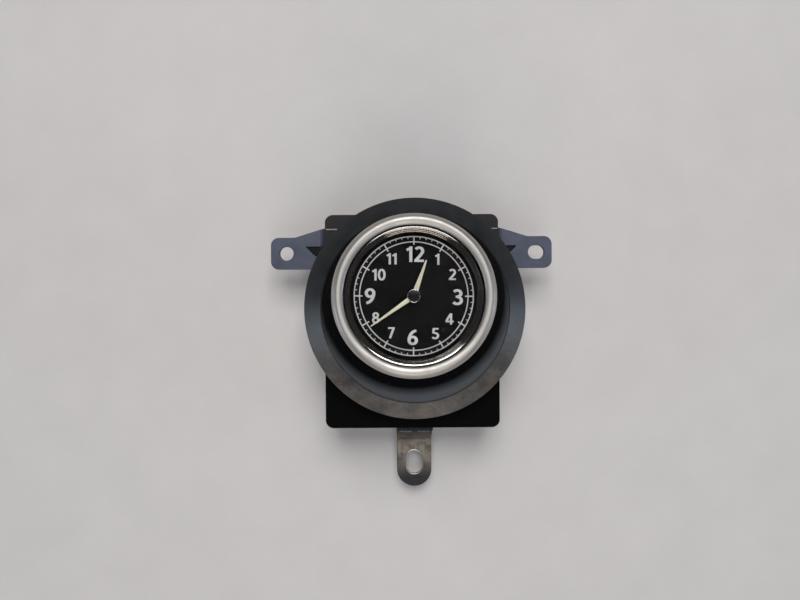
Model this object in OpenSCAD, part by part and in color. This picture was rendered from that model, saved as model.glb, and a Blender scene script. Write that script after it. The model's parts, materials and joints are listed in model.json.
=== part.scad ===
// Dashboard clock for a car: a round clock head set high on a flat box, above an off-centre skirt,
// with two side ears and a lower strap that hold it behind the fascia.
// Millimetres. +Z is the way the box faces, +Y is 12 o'clock, +X is 3 o'clock.
// The origin is on the flat rear face, in the middle of the box.

/* [Box] */
// Flat of the box beside the collar, on each side
collar_edge = 1.5; // [1:0.1:4]
// Height of the box, 6 to 12 o'clock
case_h = 80.8; // [78:0.2:92]
// Depth of the box, rear face to front face
case_d = 27; // [25:0.5:34]
// Radius of the upright corners of the box
case_corner = 3; // [2:0.5:5]
// Thickness of the side walls
case_wall = 2.4; // [2:0.2:3]
// Thickness of the front wall
front_t = 2.6; // [2:0.2:3.4]
// Thickness of the rear cover
cover_t = 4; // [3.5:0.5:5]
// Thickness of the gasket under the rear cover
gasket_t = 0.5; // [0.3:0.1:1]
// Width of the lowered strip along the top of the front face
strip_w = 5.4; // [3:0.2:7]
// Depth of the lowered strip
strip_d = 1; // [0.4:0.2:1.4]

/* [Head] */
// Distance of the dial axis from the middle of the box, toward 12 o'clock
head_up = 9.2; // [8.4:0.1:9.4]
// Distance of the skirt's middle from the middle of the box, toward 12 o'clock
skirt_up = 4.9; // [4.7:0.1:5.6]
// Shift of the skirt and its collar toward 3 o'clock
skirt_shift = 0.8; // [0:0.1:1]
// Radius of the neck below the bezel
neck_r = 25; // [24.6:0.1:25.4]
// Wall thickness of the neck
neck_wall = 2; // [1.6:0.1:2.2]
// Step from the neck out to the spigot that enters the collar
spigot_step = 4; // [3.6:0.1:4.4]
// Length of the spigot
spigot_l = 6.5; // [5:0.5:8]
// Wall thickness of the collar on the box
collar_wall = 2.25; // [2:0.05:2.6]
// Slip clearance between nested round pieces
slip = 0.15; // [0.1:0.05:0.2]
// Width of the flat underside between collar and skirt
skirt_shelf = 2; // [1.6:0.1:2.6]
// Width of the skirt cone
skirt_w = 6.5; // [6:0.1:7.6]
// Gap between the skirt and the front of the box
skirt_gap = 9.5; // [8:0.5:12]
// Rise of the skirt cone, rim to front edge
skirt_rise = 5; // [4:0.2:6]
// Wall thickness of the skirt
skirt_t = 2; // [1.6:0.2:2.6]
// Height of the rounded cove between shelf and neck
cove_h = 6; // [4:0.5:8]
// Width of the flat shelf between the skirt and the cove at 12 o'clock
shelf_w = 0.3; // [0.1:0.1:1]

/* [Bezel and lens] */
// Overhang of the bezel outside the neck
bezel_lap = 1.65; // [1.2:0.05:2]
// Width of the bezel from its crest to its outer edge
bezel_fall = 2.2; // [1.8:0.1:2.4]
// Width of the bezel from its crest to its inner lip
bezel_lip = 1.8; // [1.4:0.1:2]
// Distance from the dial face down to the foot of the bezel
bezel_drop = 5; // [2.5:0.5:6]
// Rise of the bezel crest above the lens
bezel_rise = 1.2; // [0.8:0.1:2]
// Distance from the dial face to the back of the lens
lens_gap = 5.3; // [5.2:0.1:7]
// Thickness of the lens
lens_t = 2; // [1.4:0.1:2.6]
// Thickness of the lens seal
seal_t = 0.8; // [0.5:0.1:1]

/* [Dial and hands] */
// Distance from the shroud seat to the dial face, along the dial axis
dial_rise = 21; // [20:0.5:26]
// Thickness of the dial
dial_t = 0.7; // [0.5:0.1:1]
// Width of the reflector ring, seen from the front
reflector_w = 2.1; // [1.8:0.1:2.4]
// Angle of the minute hand, clockwise from 12
minute_angle = 235.4; // [0:0.2:360]
// Angle of the hour hand, clockwise from 12
hour_angle = 19.6; // [0:0.2:360]
// Length of the minute hand from its axis
minute_len = 17.2; // [15:0.2:18.4]
// Length of the hour hand from its axis
hour_len = 12.5; // [10:0.2:14]
// Thickness of both hands
hand_t = 0.4; // [0.3:0.05:0.5]
// Radius of the hub cap over the hands
cap_r = 1.95; // [1.6:0.05:2.4]

/* [Movement] */
// Thickness of the main plate
plate_t = 1.6; // [1.4:0.1:2]
// Thickness of the bridge plate
bridge_t = 1.5; // [1.2:0.1:2]
// Room between the bridge plate and the main plate
train_gap = 6.4; // [6.4:0.1:7.4]
// Room between the main plate and the dial
motion_gap = 2.8; // [2.8:0.1:3.4]
// Module of the gears between motor and centre wheel, as a share of the neck's radius
train_share = 0.012; // [0.0112:0.0001:0.012]
// Module of the cannon pinion and minute wheel, as a share of the neck's radius
motion_share = 0.016; // [0.0146:0.0001:0.016]
// Play between meshing teeth, along the pitch circle
tooth_play = 0.1; // [0.06:0.02:0.14]
// Running clearance of each pivot, on the radius
run = 0.05; // [0.03:0.01:0.08]
// Face width of the gears
gear_t = 0.8; // [0.6:0.05:0.8]

/* [Mounting] */
// Distance of each ear hole from the side of the box
ear_reach = 15.7; // [14:0.1:20]
// Distance of the ear holes from the upper side of the box
ear_inset = 14.1; // [12:0.1:18]
// Diameter of the round ear hole and width of the slotted one
ear_hole_d = 5.4; // [4.4:0.1:6]
// Extra length of the slotted ear hole
ear_slot = 0.9; // [0.6:0.1:2]
// Height of the ear top above the rear face
ear_z = 20; // [16:0.5:22]
// Thickness of the ears
ear_t = 2; // [1.6:0.1:2.6]
// Width of the lower strap
strap_w = 14; // [12:0.5:18]
// Thickness of the lower strap
strap_t = 2; // [1.6:0.1:2.6]
// Distance of the strap slot from the lower side of the box
strap_drop = 17.8; // [16:0.2:24]
// Width of the strap slot
strap_slot_w = 6.8; // [5.4:0.1:7.4]
// Length of the strap slot
strap_slot_l = 9.9; // [8:0.1:12]
// Shift of the strap toward 3 o'clock
strap_shift = 0.8; // [-1:0.1:1]
// Height of the strap foot above the rear face
strap_z = 6; // [4:0.5:8]
// Inside radius of the bends in ears and strap
bend_r = 1.2; // [0.8:0.1:2]

/* [Board and connector] */
// Height of the circuit board above the rear cover
board_rise = 5; // [4.5:0.5:7]
// Thickness of the circuit board
board_t = 1.6; // [1:0.1:2]
// Outer width of the connector shell
plug_w = 20; // [18:0.5:24]
// Outer height of the connector shell
plug_h = 13; // [12.6:0.2:15]
// Wall thickness of the connector shell
plug_wall = 1.3; // [1:0.1:1.5]
// Distance of the connector's middle from the lower side of the box
plug_inset = 22.4; // [20:0.2:26]
// Spacing of the connector pins
pin_pitch = 3.5; // [2.5:0.1:4]

/* [Hidden] */
$fn = 96;
far = 200;
spigot_r = neck_r + spigot_step;
collar_in_r = spigot_r + slip;
collar_r = collar_in_r + collar_wall;
half_w = collar_r + collar_edge;
case_w = 2 * half_w;
half_h = case_h / 2;
in_w = case_w - 2 * case_wall;
in_h = case_h - 2 * case_wall;
shell_z = cover_t + gasket_t;
front_in_z = case_d - front_t;

// Heights along the dial axis, from the origin
seat_lap = 0.2;
skirt_front_r = collar_r + seat_lap + skirt_shelf;
skirt_r = skirt_front_r + skirt_w;
seat_s = case_d + skirt_gap;
spigot_s = seat_s - spigot_l;
dial_s = seat_s + dial_rise;
guide_top_s = dial_s - dial_t;
plate_top_s = guide_top_s - motion_gap;
plate_s = plate_top_s - plate_t;
bridge_top_s = plate_s - train_gap;
bridge_s = bridge_top_s - bridge_t;
lens_s = dial_s + lens_gap;
lens_top_s = lens_s + lens_t;
neck_top_s = lens_s - seal_t;
crest_s = lens_top_s + bezel_rise;
bezel_foot_s = dial_s - bezel_drop;
bezel_wide_s = lens_s - 0.5;

// Radii in the head
seat_r = skirt_front_r - skirt_shelf;
groove_w = 0.5;
head_offset = norm([skirt_shift, head_up - skirt_up]);
cove_r = skirt_front_r - groove_w - shelf_w - head_offset - neck_r;
shelf_rise = 0.2;
rim_t = 0.6;
bezel_r = neck_r + bezel_lap;
bezel_crest_r = bezel_r - bezel_fall;
bezel_lip_r = bezel_crest_r - bezel_lip;
neck_in_r = neck_r - neck_wall;
stack_r = neck_in_r - 0.4;
ledge_r = neck_in_r - 2.4;
ledge_t = 2;
lens_r = neck_r - 0.8;
reflector_r = neck_in_r - reflector_w;
screw_ring_r = spigot_r - 1.6;
web_r = spigot_r - 3;
shroud_screw_r = 0.9;
shroud_head_r = 1.3;

// Gear teeth and centre distances
pressure = 20;
addendum = 0.85;
dedendum = 1.2;
leaf = 10;
centre_teeth = 60;
third_teeth = 50;
cannon_teeth = 12;
minute_teeth = 36;
hour_teeth = 40;
leaf_shift = 0.45;
cannon_shift = 0.3;
train_module = train_share * neck_r;
motion_module = motion_share * neck_r;
third_dist = train_module * (leaf + centre_teeth) / 2;
rotor_dist = train_module * (leaf + third_teeth) / 2;
motion_dist = motion_module * (cannon_teeth + minute_teeth) / 2;
hour_module = 2 * motion_dist / (leaf + hour_teeth);
rotor_y = -(third_dist + 0.5);
third_turn = acos((third_dist ^ 2 + rotor_y ^ 2 - rotor_dist ^ 2) / (2 * third_dist * -rotor_y));
third_dir = 270 - third_turn;
third_x = third_dist * cos(third_dir);
third_y = third_dist * sin(third_dir);
rotor_dir = atan2(rotor_y - third_y, -third_x);
motion_dir = 60;
guide_gap = 0.58;
guide_in_r = motion_dist + motion_module * (minute_teeth / 2 + addendum - cannon_shift) + guide_gap;

// Shafts of the movement
arbor_r = 1;
arbor_tip_r = 0.7;
pivot_r = 0.35;
tail_r = 0.6;
pipe_r = 1.1;
hour_pipe_r = 1.7;
hour_bore_r = pipe_r + run;
stud_r = 0.6;
press = 0.02;

// Heights of the train above the bridge plate and above the main plate
stator_t = 0.8;
stator_s = bridge_top_s + 1;
core_s = stator_s + stator_t;
core_top_s = core_s + stator_t;
magnet_s = bridge_top_s + 0.5;
magnet_h = 2.2;
centre_s = plate_s - 0.5 - gear_t;
third_pinion_s = centre_s - 0.2;
third_s = centre_s - 0.5 - gear_t;
rotor_pinion_s = third_s - 0.3;
cannon_s = plate_top_s + 0.25;
hour_s = guide_top_s - 0.55 - gear_t;
hour_hand_s = dial_s + 1.5;
minute_hand_s = dial_s + 2.7;

// Motor parts
rotor_r = 1.8;
stator_half = 3;
coil_r = 2.3;
coil_tube_r = 1.5;
coil_half = 5.8;
coil_flange = 0.8;
core_w = 2;
coil_y = rotor_y - stator_half - coil_r - 0.2;
coil_s = core_s + stator_t / 2;
tab_w = 3;
tab_x = coil_half + 0.8 + tab_w / 2;
tab_y = rotor_y - 1.2;
stator_screw_r = 0.75;
stator_head_r = 1.3;
stator_head_t = 0.6;
stator_screw_end = 0.8;
pillar_ring_r = ledge_r - 4.2;
pillar_r = 1.6;
pillar_dirs = [330, 75, 160];
terminal_inset = 9.6;
terminal_x = ledge_r - terminal_inset;
terminal_y = 4;
terminal_h = 3;

// Board, posts and screws in the box
board_z = cover_t + board_rise;
board_top_z = board_z + board_t;
board_w = in_w - 3;
boss_r = 3.2;
boss_x = half_w - 5.4;
boss_y = half_h - 5.4;
board_h = 2 * (boss_y - boss_r - 0.7);
post_x = board_w / 2 - 5;
post_y = board_h / 2 - 4;
post_r = 2.6;
screw_r = 1.2;
head_r = 2.7;
head_h = 1.9;
board_screw_r = 0.85;
pin_w = 0.64;
pin_count = 4;
plug_y = half_h - plug_inset;
lip_t = 1.2;
lip_h = 2;
cover_screw_z = front_in_z - 6.4;
chip_w = 7;
chip_h = 6;
chip_inset = 20;
chip_x = chip_inset - board_w / 2;
chip_y = 6;
can_l = 10.4;
can_w = 3.8;
can_h = 3.6;
can_flange = 0.4;
can_y = -6;
cap_can_r = 2.6;
cap_can_h = 6;
cap_edge = 0.4;
cap_inset = 15;
cap_x = board_w / 2 - cap_inset;
cap_y = -12;
cap_pitch = 7;
cap_ys = [cap_y, cap_y + cap_pitch];
ribbon_w = 3.6;
ribbon_t = 0.4;
ribbon_lift = 2;
ribbon_reach = 1.2;
socket_w = 6.8;
socket_l = 4;
socket_h = 4;
socket_gap = 0.3;
ribbon_z = board_top_z + ribbon_lift;
socket_y = head_up + terminal_y;

// Ears, strap and rivets
ear_hole_x = half_w + ear_reach;
ear_hole_y = half_h - ear_inset;
ear_margin = 6.2;
ear_end = ear_hole_x + ear_margin - 0.1;
ear_low = ear_hole_y - ear_margin;
ear_high = ear_hole_y + ear_margin;
ear_top = ear_high + 3.9;
ear_round = 3;
ear_leg = 13;
ear_shoulder = 3.3;
window_high = ear_hole_y + 2.6;
window_low = ear_hole_y - 2.2;
window_w = 8.2;
window_tip = 5.1;
window_rise = 1.7;
window_foot = ear_t + 0.4;
ear_rivet_low = 2.5;
ear_rivet_pitch = 6.9;
ear_rivet_ys = [ear_low + ear_rivet_low, ear_low + ear_rivet_low + ear_rivet_pitch];
pad_flange = 1.2;
pad_t = 3;
pad_sink = 0.6;
ear_rivet_z = ear_z - 8;
rivet_r = 1.5;
rivet_head_r = 2.5;
rivet_head_t = 0.9;
rivet_gap = 0.05;
strap_reach = half_h + strap_drop;
strap_rise = 6;
strap_up_z = strap_z + strap_rise;
strap_leg = 11;
strap_knee = half_h + 4.6;
strap_foot = strap_knee + 3.2;
strap_rivet_x = strap_w / 4;
strap_rivet_lift = 6.6;
strap_rivet_z = strap_up_z + strap_rivet_lift;

// Carries a piece drawn on the dial axis to its place
module head() {
  translate([0, head_up, 0]) children();
}

// Carries a piece drawn on the axis of skirt and collar to its place
module on_skirt() {
  translate([skirt_shift, skirt_up, 0]) children();
}

// Raises a piece along its own axis
module at(s) {
  translate([0, 0, s]) children();
}

// A round bar or disc from one height to another
module rod(r, s0, s1) {
  at(s0) cylinder(r = r, h = s1 - s0);
}

// A flat ring from one height to another
module ring(r_out, r_in, s0, s1) {
  difference() {
    rod(r_out, s0, s1);
    rod(r_in, s0 - 1, s1 + 1);
  }
}

// A rectangle with round corners, in the plane
module round_rect(w, h, r) {
  square([w - 2 * r, h], center = true);
  square([w, h - 2 * r], center = true);
  for (x = [-1, 1], y = [-1, 1]) {
    translate([x * (w / 2 - r), y * (h / 2 - r)]) circle(r = r);
  }
}

// A rounded slab from one height to another
module slab(w, h, r, z0, z1) {
  at(z0) linear_extrude(height = z1 - z0) round_rect(w, h, r);
}

// Copies a piece to the four corners of a rectangle
module four(x, y) {
  for (sx = [-1, 1], sy = [-1, 1]) {
    translate([sx * x, sy * y, 0]) children();
  }
}

// Involute of a circle, in degrees, at the pressure angle with this cosine
function involute(c) = tan(acos(c)) * 180 / PI - acos(c);

// Half the angle that a tooth fills at radius r
function tooth_half(r, m, z, x) =
  let (rp = m * z / 2, rb = rp * cos(pressure))
  90 / z + (2 * x * tan(pressure) / z - tooth_play / 4 / rp) * 180 / PI
  + involute(cos(pressure)) - involute(min(1, rb / r));

// Polar point of a gear outline
function polar(r, a) = [r * cos(a), r * sin(a)];

// Outline of a gear with a tooth on the +X axis
function gear_points(m, z, x) =
  let (
    rp = m * z / 2,
    tip = rp + m * (addendum + x),
    root = rp - m * (dedendum - x),
    low = max(root + 0.02 * m, rp * cos(pressure) + 0.01 * m),
    flank = [for (k = [0:3]) low + (tip - low) * k / 3]
  )
  [for (i = [0:z - 1]) each concat(
    [polar(root, i * 360 / z - tooth_half(low, m, z, x))],
    [for (k = [0:3]) polar(flank[k], i * 360 / z - tooth_half(flank[k], m, z, x))],
    [for (k = [3:-1:0]) polar(flank[k], i * 360 / z + tooth_half(flank[k], m, z, x))],
    [polar(root, i * 360 / z + tooth_half(low, m, z, x))]
  )];

// A toothed disc from one height to another, a tooth turned to the given angle
module gear(m, z, x, turn, s0, s1) {
  at(s0) linear_extrude(height = s1 - s0) rotate(turn) polygon(gear_points(m, z, x));
}

// Satin half-round ring that closes the front of the neck
module bezel_ring() color([0.78, 0.78, 0.77]) head() {
  outer = [for (a = [0:6:90])
    [bezel_crest_r + (bezel_r - bezel_crest_r) * cos(a), bezel_wide_s + (crest_s - bezel_wide_s) * sin(a)]];
  inner = [for (a = [15:15:90])
    [bezel_crest_r - (bezel_crest_r - bezel_lip_r) * sin(a), lens_top_s + 0.2 + (bezel_rise - 0.2) * cos(a)]];
  hollow = [[bezel_lip_r, lens_top_s], [lens_r + slip, lens_top_s], [lens_r + slip, neck_top_s],
    [neck_r + slip, neck_top_s], [neck_r + slip, bezel_foot_s], [bezel_r, bezel_foot_s]];
  rotate_extrude() polygon(concat(outer, inner, hollow));
}

// Flat mineral lens with a ground edge
module lens() color([0.75, 0.85, 0.88, 0.3]) head() {
  edge = 0.25;
  rotate_extrude() polygon([[0, lens_s], [lens_r - edge, lens_s], [lens_r, lens_s + edge],
    [lens_r, lens_top_s - edge], [lens_r - edge, lens_top_s], [0, lens_top_s]]);
}

// Rubber seal between the neck and the lens
module lens_seal() color([0.1, 0.1, 0.1]) head() ring(lens_r, neck_in_r, neck_top_s, lens_s);

// Polished ring that slopes from the lens down to the dial
module reflector_ring() color([0.9, 0.88, 0.84]) head() {
  top = lens_s - 0.2;
  out = stack_r + 0.2;
  rotate_extrude() polygon([[reflector_r, dial_s], [out, dial_s], [out, top], [out - 0.4, top],
    [out - 0.7, top - 1.2], [out - 0.9, top - 1.2], [reflector_r, dial_s + 0.5]]);
}

// Black dial
module dial_plate() color([0.03, 0.03, 0.03]) head() ring(stack_r, hour_pipe_r + 0.4, guide_top_s, dial_s);

// Clear ring behind the dial that carries light to its edge
module light_guide() color([0.85, 0.9, 0.92, 0.5]) head() difference() {
  ring(stack_r, guide_in_r, plate_top_s + 0.4, guide_top_s);
  for (a = [0:60:300]) rotate(a) translate([(stack_r + guide_in_r) / 2, 0, plate_top_s]) {
    cube([1.5, 2.2, 2.6], center = true);
  }
}

// Thin ring board that carries the lamps
module lamp_board() color([0.1, 0.3, 0.16]) head() ring(stack_r, guide_in_r, plate_top_s, plate_top_s + 0.4);

// Six small lamps on the ring board
module dial_lamps() color([0.95, 0.93, 0.8]) head() {
  for (a = [0:60:300]) rotate(a) translate([(stack_r + guide_in_r) / 2 - 0.5, -0.8, plate_top_s + 0.4]) {
    cube([1, 1.6, 0.6]);
  }
}

// A pointed hand along +Y with a round eye, its underside at height s
module pointer(len, root_w, tip_w, eye_r, bore_r, s) {
  difference() {
    union() {
      at(s) linear_extrude(height = hand_t) polygon([[-root_w / 2, 0], [root_w / 2, 0], [tip_w / 2, len - 0.3],
        [0, len], [-tip_w / 2, len - 0.3]]);
      rod(eye_r, s, s + hand_t);
      rod(eye_r - 0.2, s - 0.6, s);
    }
    rod(bore_r, s - 2, s + 2);
  }
}

// Ivory hour hand on the hour pipe
module hour_hand() color([0.93, 0.9, 0.8]) head() {
  rotate(-hour_angle) pointer(hour_len, 1.9, 0.5, 2.4, hour_pipe_r + press, hour_hand_s);
}

// Ivory minute hand on the cannon pipe
module minute_hand() color([0.93, 0.9, 0.8]) head() {
  rotate(-minute_angle) pointer(minute_len, 1.6, 0.4, cap_r - 0.1, pipe_r + press, minute_hand_s);
}

// Domed black cap over the hands
module hub_cap() color([0.04, 0.04, 0.04]) head() {
  s = minute_hand_s + hand_t;
  dome = [for (a = [0:15:90]) [cap_r * cos(a), s + 0.7 + 0.6 * sin(a)]];
  rotate_extrude() polygon(concat([[0, s], [cap_r, s]], dome));
}

// Hour wheel with the pipe that carries the hour hand
module hour_wheel() color([0.85, 0.83, 0.75]) head() difference() {
  union() {
    gear(hour_module, hour_teeth, -leaf_shift, motion_dir + 180 / hour_teeth, hour_s, hour_s + gear_t);
    rod(hour_pipe_r, hour_s, hour_hand_s + hand_t);
  }
  rod(hour_bore_r, hour_s - 1, lens_s);
}

// Minute wheel and its pinion, running on the stud of the main plate
module minute_wheel() color([0.8, 0.78, 0.7]) head() rotate(motion_dir) translate([motion_dist, 0, 0]) {
  turn = 180 + 180 / minute_teeth;
  difference() {
    union() {
      gear(motion_module, minute_teeth, -cannon_shift, turn, cannon_s + 0.05, cannon_s + 0.05 + gear_t);
      gear(hour_module, leaf, leaf_shift, 180, cannon_s + gear_t, hour_s + gear_t + 0.15);
      rod(stud_r + 0.7, plate_top_s + 0.05, cannon_s + 0.1);
    }
    rod(stud_r + run, plate_top_s - 1, dial_s);
  }
}

// Cannon pinion with the pipe that carries the minute hand
module cannon_pinion() color([0.82, 0.68, 0.36]) head() difference() {
  union() {
    gear(motion_module, cannon_teeth, cannon_shift, motion_dir, cannon_s, cannon_s + gear_t + 0.1);
    rod(pipe_r, plate_top_s + 0.1, minute_hand_s + hand_t);
  }
  rod(arbor_tip_r + press, plate_top_s - 1, lens_s);
}

// Centre wheel on its long arbor
module centre_wheel() color([0.82, 0.68, 0.36]) head() {
  difference() {
    gear(train_module, centre_teeth, -leaf_shift, third_dir, centre_s, centre_s + gear_t);
    for (a = [0:60:300]) rotate(a) translate([5, 0, 0]) rod(1.6, centre_s - 1, centre_s + gear_t + 1);
  }
  rod(arbor_r, bridge_top_s + 0.5, plate_top_s);
  rod(tail_r, bridge_s, bridge_top_s + 0.5);
  rod(arbor_tip_r, plate_top_s, minute_hand_s + hand_t);
}

// Third wheel and pinion between the motor and the centre wheel
module third_wheel() color([0.86, 0.84, 0.78]) head() translate([third_x, third_y, 0]) {
  difference() {
    gear(train_module, third_teeth, -leaf_shift, rotor_dir, third_s, third_s + gear_t);
    for (a = [0:72:288]) rotate(a) translate([4.1, 0, 0]) rod(1.3, third_s - 1, third_s + gear_t + 1);
  }
  gear(train_module, leaf, leaf_shift, third_dir + 180 + 180 / leaf, third_pinion_s, plate_s - 0.3);
  rod(tail_r, bridge_top_s + 0.3, third_pinion_s);
  rod(pivot_r, bridge_s, bridge_top_s + 0.3);
  rod(pivot_r, plate_s - 0.3, plate_top_s - 0.2);
}

// Motor shaft with its pinion
module rotor_arbor() color([0.7, 0.71, 0.72]) head() translate([0, rotor_y, 0]) {
  gear(train_module, leaf, leaf_shift, rotor_dir + 180 + 180 / leaf, rotor_pinion_s, third_s + gear_t + 0.3);
  rod(tail_r, bridge_top_s + 0.3, rotor_pinion_s);
  rod(pivot_r, third_s + gear_t + 0.3, plate_top_s - 0.2);
  rod(pivot_r, bridge_s, bridge_top_s + 0.3);
}

// Ring magnet on the motor shaft
module rotor_magnet() color([0.25, 0.25, 0.27]) head() translate([0, rotor_y, 0]) {
  ring(rotor_r, tail_r + press, magnet_s, magnet_s + magnet_h);
}

// Front plate of the movement, with the stud of the minute wheel
module main_plate() color([0.78, 0.66, 0.38]) head() {
  difference() {
    rod(stack_r, plate_s, plate_top_s);
    rod(arbor_r + run, plate_s - 1, plate_top_s + 1);
    translate([third_x, third_y, 0]) rod(pivot_r + run, plate_s - 1, plate_top_s + 1);
    translate([0, rotor_y, 0]) rod(pivot_r + run, plate_s - 1, plate_top_s + 1);
    for (a = pillar_dirs) rotate(a) translate([pillar_ring_r, 0, 0]) rod(1, plate_s - 1, plate_top_s + 1);
  }
  rotate(motion_dir) translate([motion_dist, 0, 0]) rod(stud_r, plate_top_s, guide_top_s - 0.3);
}

// Rear plate of the movement, cut away round the coil
module bridge_plate() color([0.78, 0.66, 0.38]) head() difference() {
  union() {
    rod(ledge_r - 1.6, bridge_s, bridge_top_s);
    for (x = [-tab_x, tab_x]) translate([x, tab_y, 0]) rod(1.5, bridge_s, stator_s);
  }
  translate([0, coil_y - coil_r, bridge_s]) cube([2 * coil_half + 1, 4 * coil_r + 1, 8], center = true);
  rod(tail_r + run, bridge_s - 1, bridge_top_s + 1);
  translate([third_x, third_y, 0]) rod(pivot_r + run, bridge_s - 1, bridge_top_s + 1);
  translate([0, rotor_y, 0]) rod(pivot_r + run, bridge_s - 1, bridge_top_s + 1);
  for (a = pillar_dirs) rotate(a) translate([pillar_ring_r, 0, 0]) rod(0.8, bridge_s - 1, bridge_top_s + 1);
  for (x = [-tab_x, tab_x]) translate([x, tab_y, 0]) {
    rod(stator_screw_r, bridge_s + stator_screw_end - 0.2, stator_s + 1);
  }
}

// Three pillars between the plates, riveted into the main plate
module movement_pillars() color([0.8, 0.8, 0.8]) head() {
  for (a = pillar_dirs) rotate(a) translate([pillar_ring_r, 0, 0]) difference() {
    union() {
      rod(pillar_r, bridge_top_s, plate_s);
      rod(1 - press, plate_s, plate_top_s);
    }
    rod(0.8, bridge_top_s - 1, bridge_top_s + 4);
  }
}

// Three screws that hold the bridge to the pillars
module movement_screws() color([0.75, 0.75, 0.76]) head() {
  for (a = pillar_dirs) rotate(a) translate([pillar_ring_r, 0, 0]) difference() {
    union() {
      rod(1.5, bridge_s - 0.9, bridge_s);
      rod(0.8 - press, bridge_s, bridge_top_s + 3.5);
    }
    translate([0, 0, bridge_s - 0.9]) cube([0.4, 4, 0.8], center = true);
  }
}

// Soft iron plate round the rotor
module stator() color([0.55, 0.55, 0.57]) head() at(stator_s) linear_extrude(height = stator_t) difference() {
  translate([0, rotor_y]) square([2 * tab_x + tab_w, 2 * stator_half], center = true);
  translate([0, rotor_y]) circle(r = rotor_r + 0.35);
  for (x = [-tab_x, tab_x]) translate([x, tab_y]) circle(r = stator_screw_r);
}

// Iron core through the coil, its ends lying on the stator
module coil_core() color([0.55, 0.55, 0.57]) head() at(core_s) linear_extrude(height = stator_t) difference() {
  union() {
    translate([0, coil_y]) square([2 * tab_x + tab_w, core_w], center = true);
    for (x = [-tab_x, tab_x]) translate([x - tab_w / 2, coil_y]) square([tab_w, rotor_y - coil_y + 0.6]);
  }
  for (x = [-tab_x, tab_x]) translate([x, tab_y]) circle(r = stator_screw_r);
}

// Turns a round piece to lie along the coil
module along_coil() {
  head() translate([0, coil_y, coil_s]) rotate([0, 90, 0]) children();
}

// Bobbin on the core
module coil_bobbin() color([0.15, 0.15, 0.16]) along_coil() difference() {
  union() {
    rod(coil_tube_r, -coil_half, coil_half);
    rod(coil_r + 0.2, -coil_half, coil_flange - coil_half);
    rod(coil_r + 0.2, coil_half - coil_flange, coil_half);
  }
  cube([stator_t + 0.1, core_w + 0.1, far], center = true);
}

// Copper winding on the bobbin
module coil_winding() color([0.72, 0.36, 0.16]) along_coil() {
  ring(coil_r, coil_tube_r, coil_flange - coil_half, coil_half - coil_flange);
}

// Two screws through core and stator into the bridge
module stator_screws() color([0.75, 0.75, 0.76]) head() {
  for (x = [-tab_x, tab_x]) translate([x, tab_y, 0]) difference() {
    union() {
      rod(stator_head_r, core_top_s, core_top_s + stator_head_t);
      rod(stator_screw_r - press, bridge_s + stator_screw_end, core_top_s);
    }
    translate([0, 0, core_top_s + stator_head_t]) {
      cube([stator_head_t / 2, 4 * stator_head_r, stator_head_t], center = true);
    }
  }
}

// Block under the bridge where the ribbon ends
module terminal_block() color([0.9, 0.88, 0.8]) head() {
  translate([terminal_x, terminal_y, bridge_s - terminal_h]) difference() {
    translate([-3, -1.3, 0]) cube([6, 2.6, terminal_h]);
    translate([-2, -0.3, -1]) cube([4, 0.6, terminal_h]);
  }
}

// Flat ribbon from the board up to the motor
module motor_ribbon() color([0.75, 0.55, 0.25]) head() {
  translate([terminal_x - ribbon_w / 2, terminal_y - ribbon_t / 2, ribbon_z]) {
    cube([ribbon_w, ribbon_t, bridge_s - ribbon_reach - ribbon_z]);
  }
}

// Socket on the board for the ribbon
module ribbon_socket() color([0.9, 0.88, 0.8]) translate([terminal_x, socket_y, board_top_z]) difference() {
  mouth_w = ribbon_w + 2 * socket_gap;
  translate([-socket_w / 2, -socket_l / 2, 0]) cube([socket_w, socket_l, socket_h]);
  translate([-mouth_w / 2, -ribbon_t - socket_gap, ribbon_lift / 2]) {
    cube([mouth_w, 3 * ribbon_t + 2 * socket_gap, socket_h]);
  }
}

// Skirt, shelf, cove and neck in one moulding, the neck off the middle of the skirt
module shroud() color([0.16, 0.165, 0.18]) difference() {
  front_s = seat_s + skirt_rise;
  shelf_s = front_s + shelf_rise;
  floor_s = seat_s + 1.5;
  under_s = shelf_s - skirt_t - 2 * shelf_rise;
  groove_r = skirt_front_r - groove_w;
  spigot = [[0, floor_s], [web_r, floor_s], [web_r, spigot_s], [spigot_r, spigot_s], [spigot_r, seat_s]];
  under = [[seat_r, seat_s], [seat_r, under_s], [skirt_front_r, under_s], [skirt_r - skirt_t, seat_s]];
  rim = [[skirt_r, seat_s], [skirt_r, seat_s + rim_t], [skirt_front_r, front_s]];
  groove = [[skirt_front_r, front_s - groove_w], [groove_r, front_s - groove_w], [groove_r, shelf_s],
    [0, shelf_s]];
  cove = [for (a = [0:9:90])
    [neck_r + cove_r * (1 - sin(a)), shelf_s - shelf_rise + cove_h * (1 - cos(a))]];
  foot = [[0, floor_s], [neck_r, floor_s]];
  top = [[neck_r, neck_top_s], [0, neck_top_s]];
  hollow = [[0, floor_s - 0.5], [neck_in_r, floor_s - 0.5], [neck_in_r, plate_s - ledge_t - 1],
    [ledge_r, plate_s - ledge_t], [ledge_r, plate_s], [neck_in_r, plate_s], [neck_in_r, neck_top_s + 1],
    [0, neck_top_s + 1]];
  union() {
    on_skirt() rotate_extrude() polygon(concat(spigot, under, rim, groove));
    head() rotate_extrude() polygon(concat(foot, cove, top));
  }
  head() rotate_extrude() polygon(hollow);
  on_skirt() for (a = [90:120:330]) rotate(a) translate([screw_ring_r, 0, 0]) {
    rod(shroud_screw_r, spigot_s - 1, seat_s + 0.5);
  }
}

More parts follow.
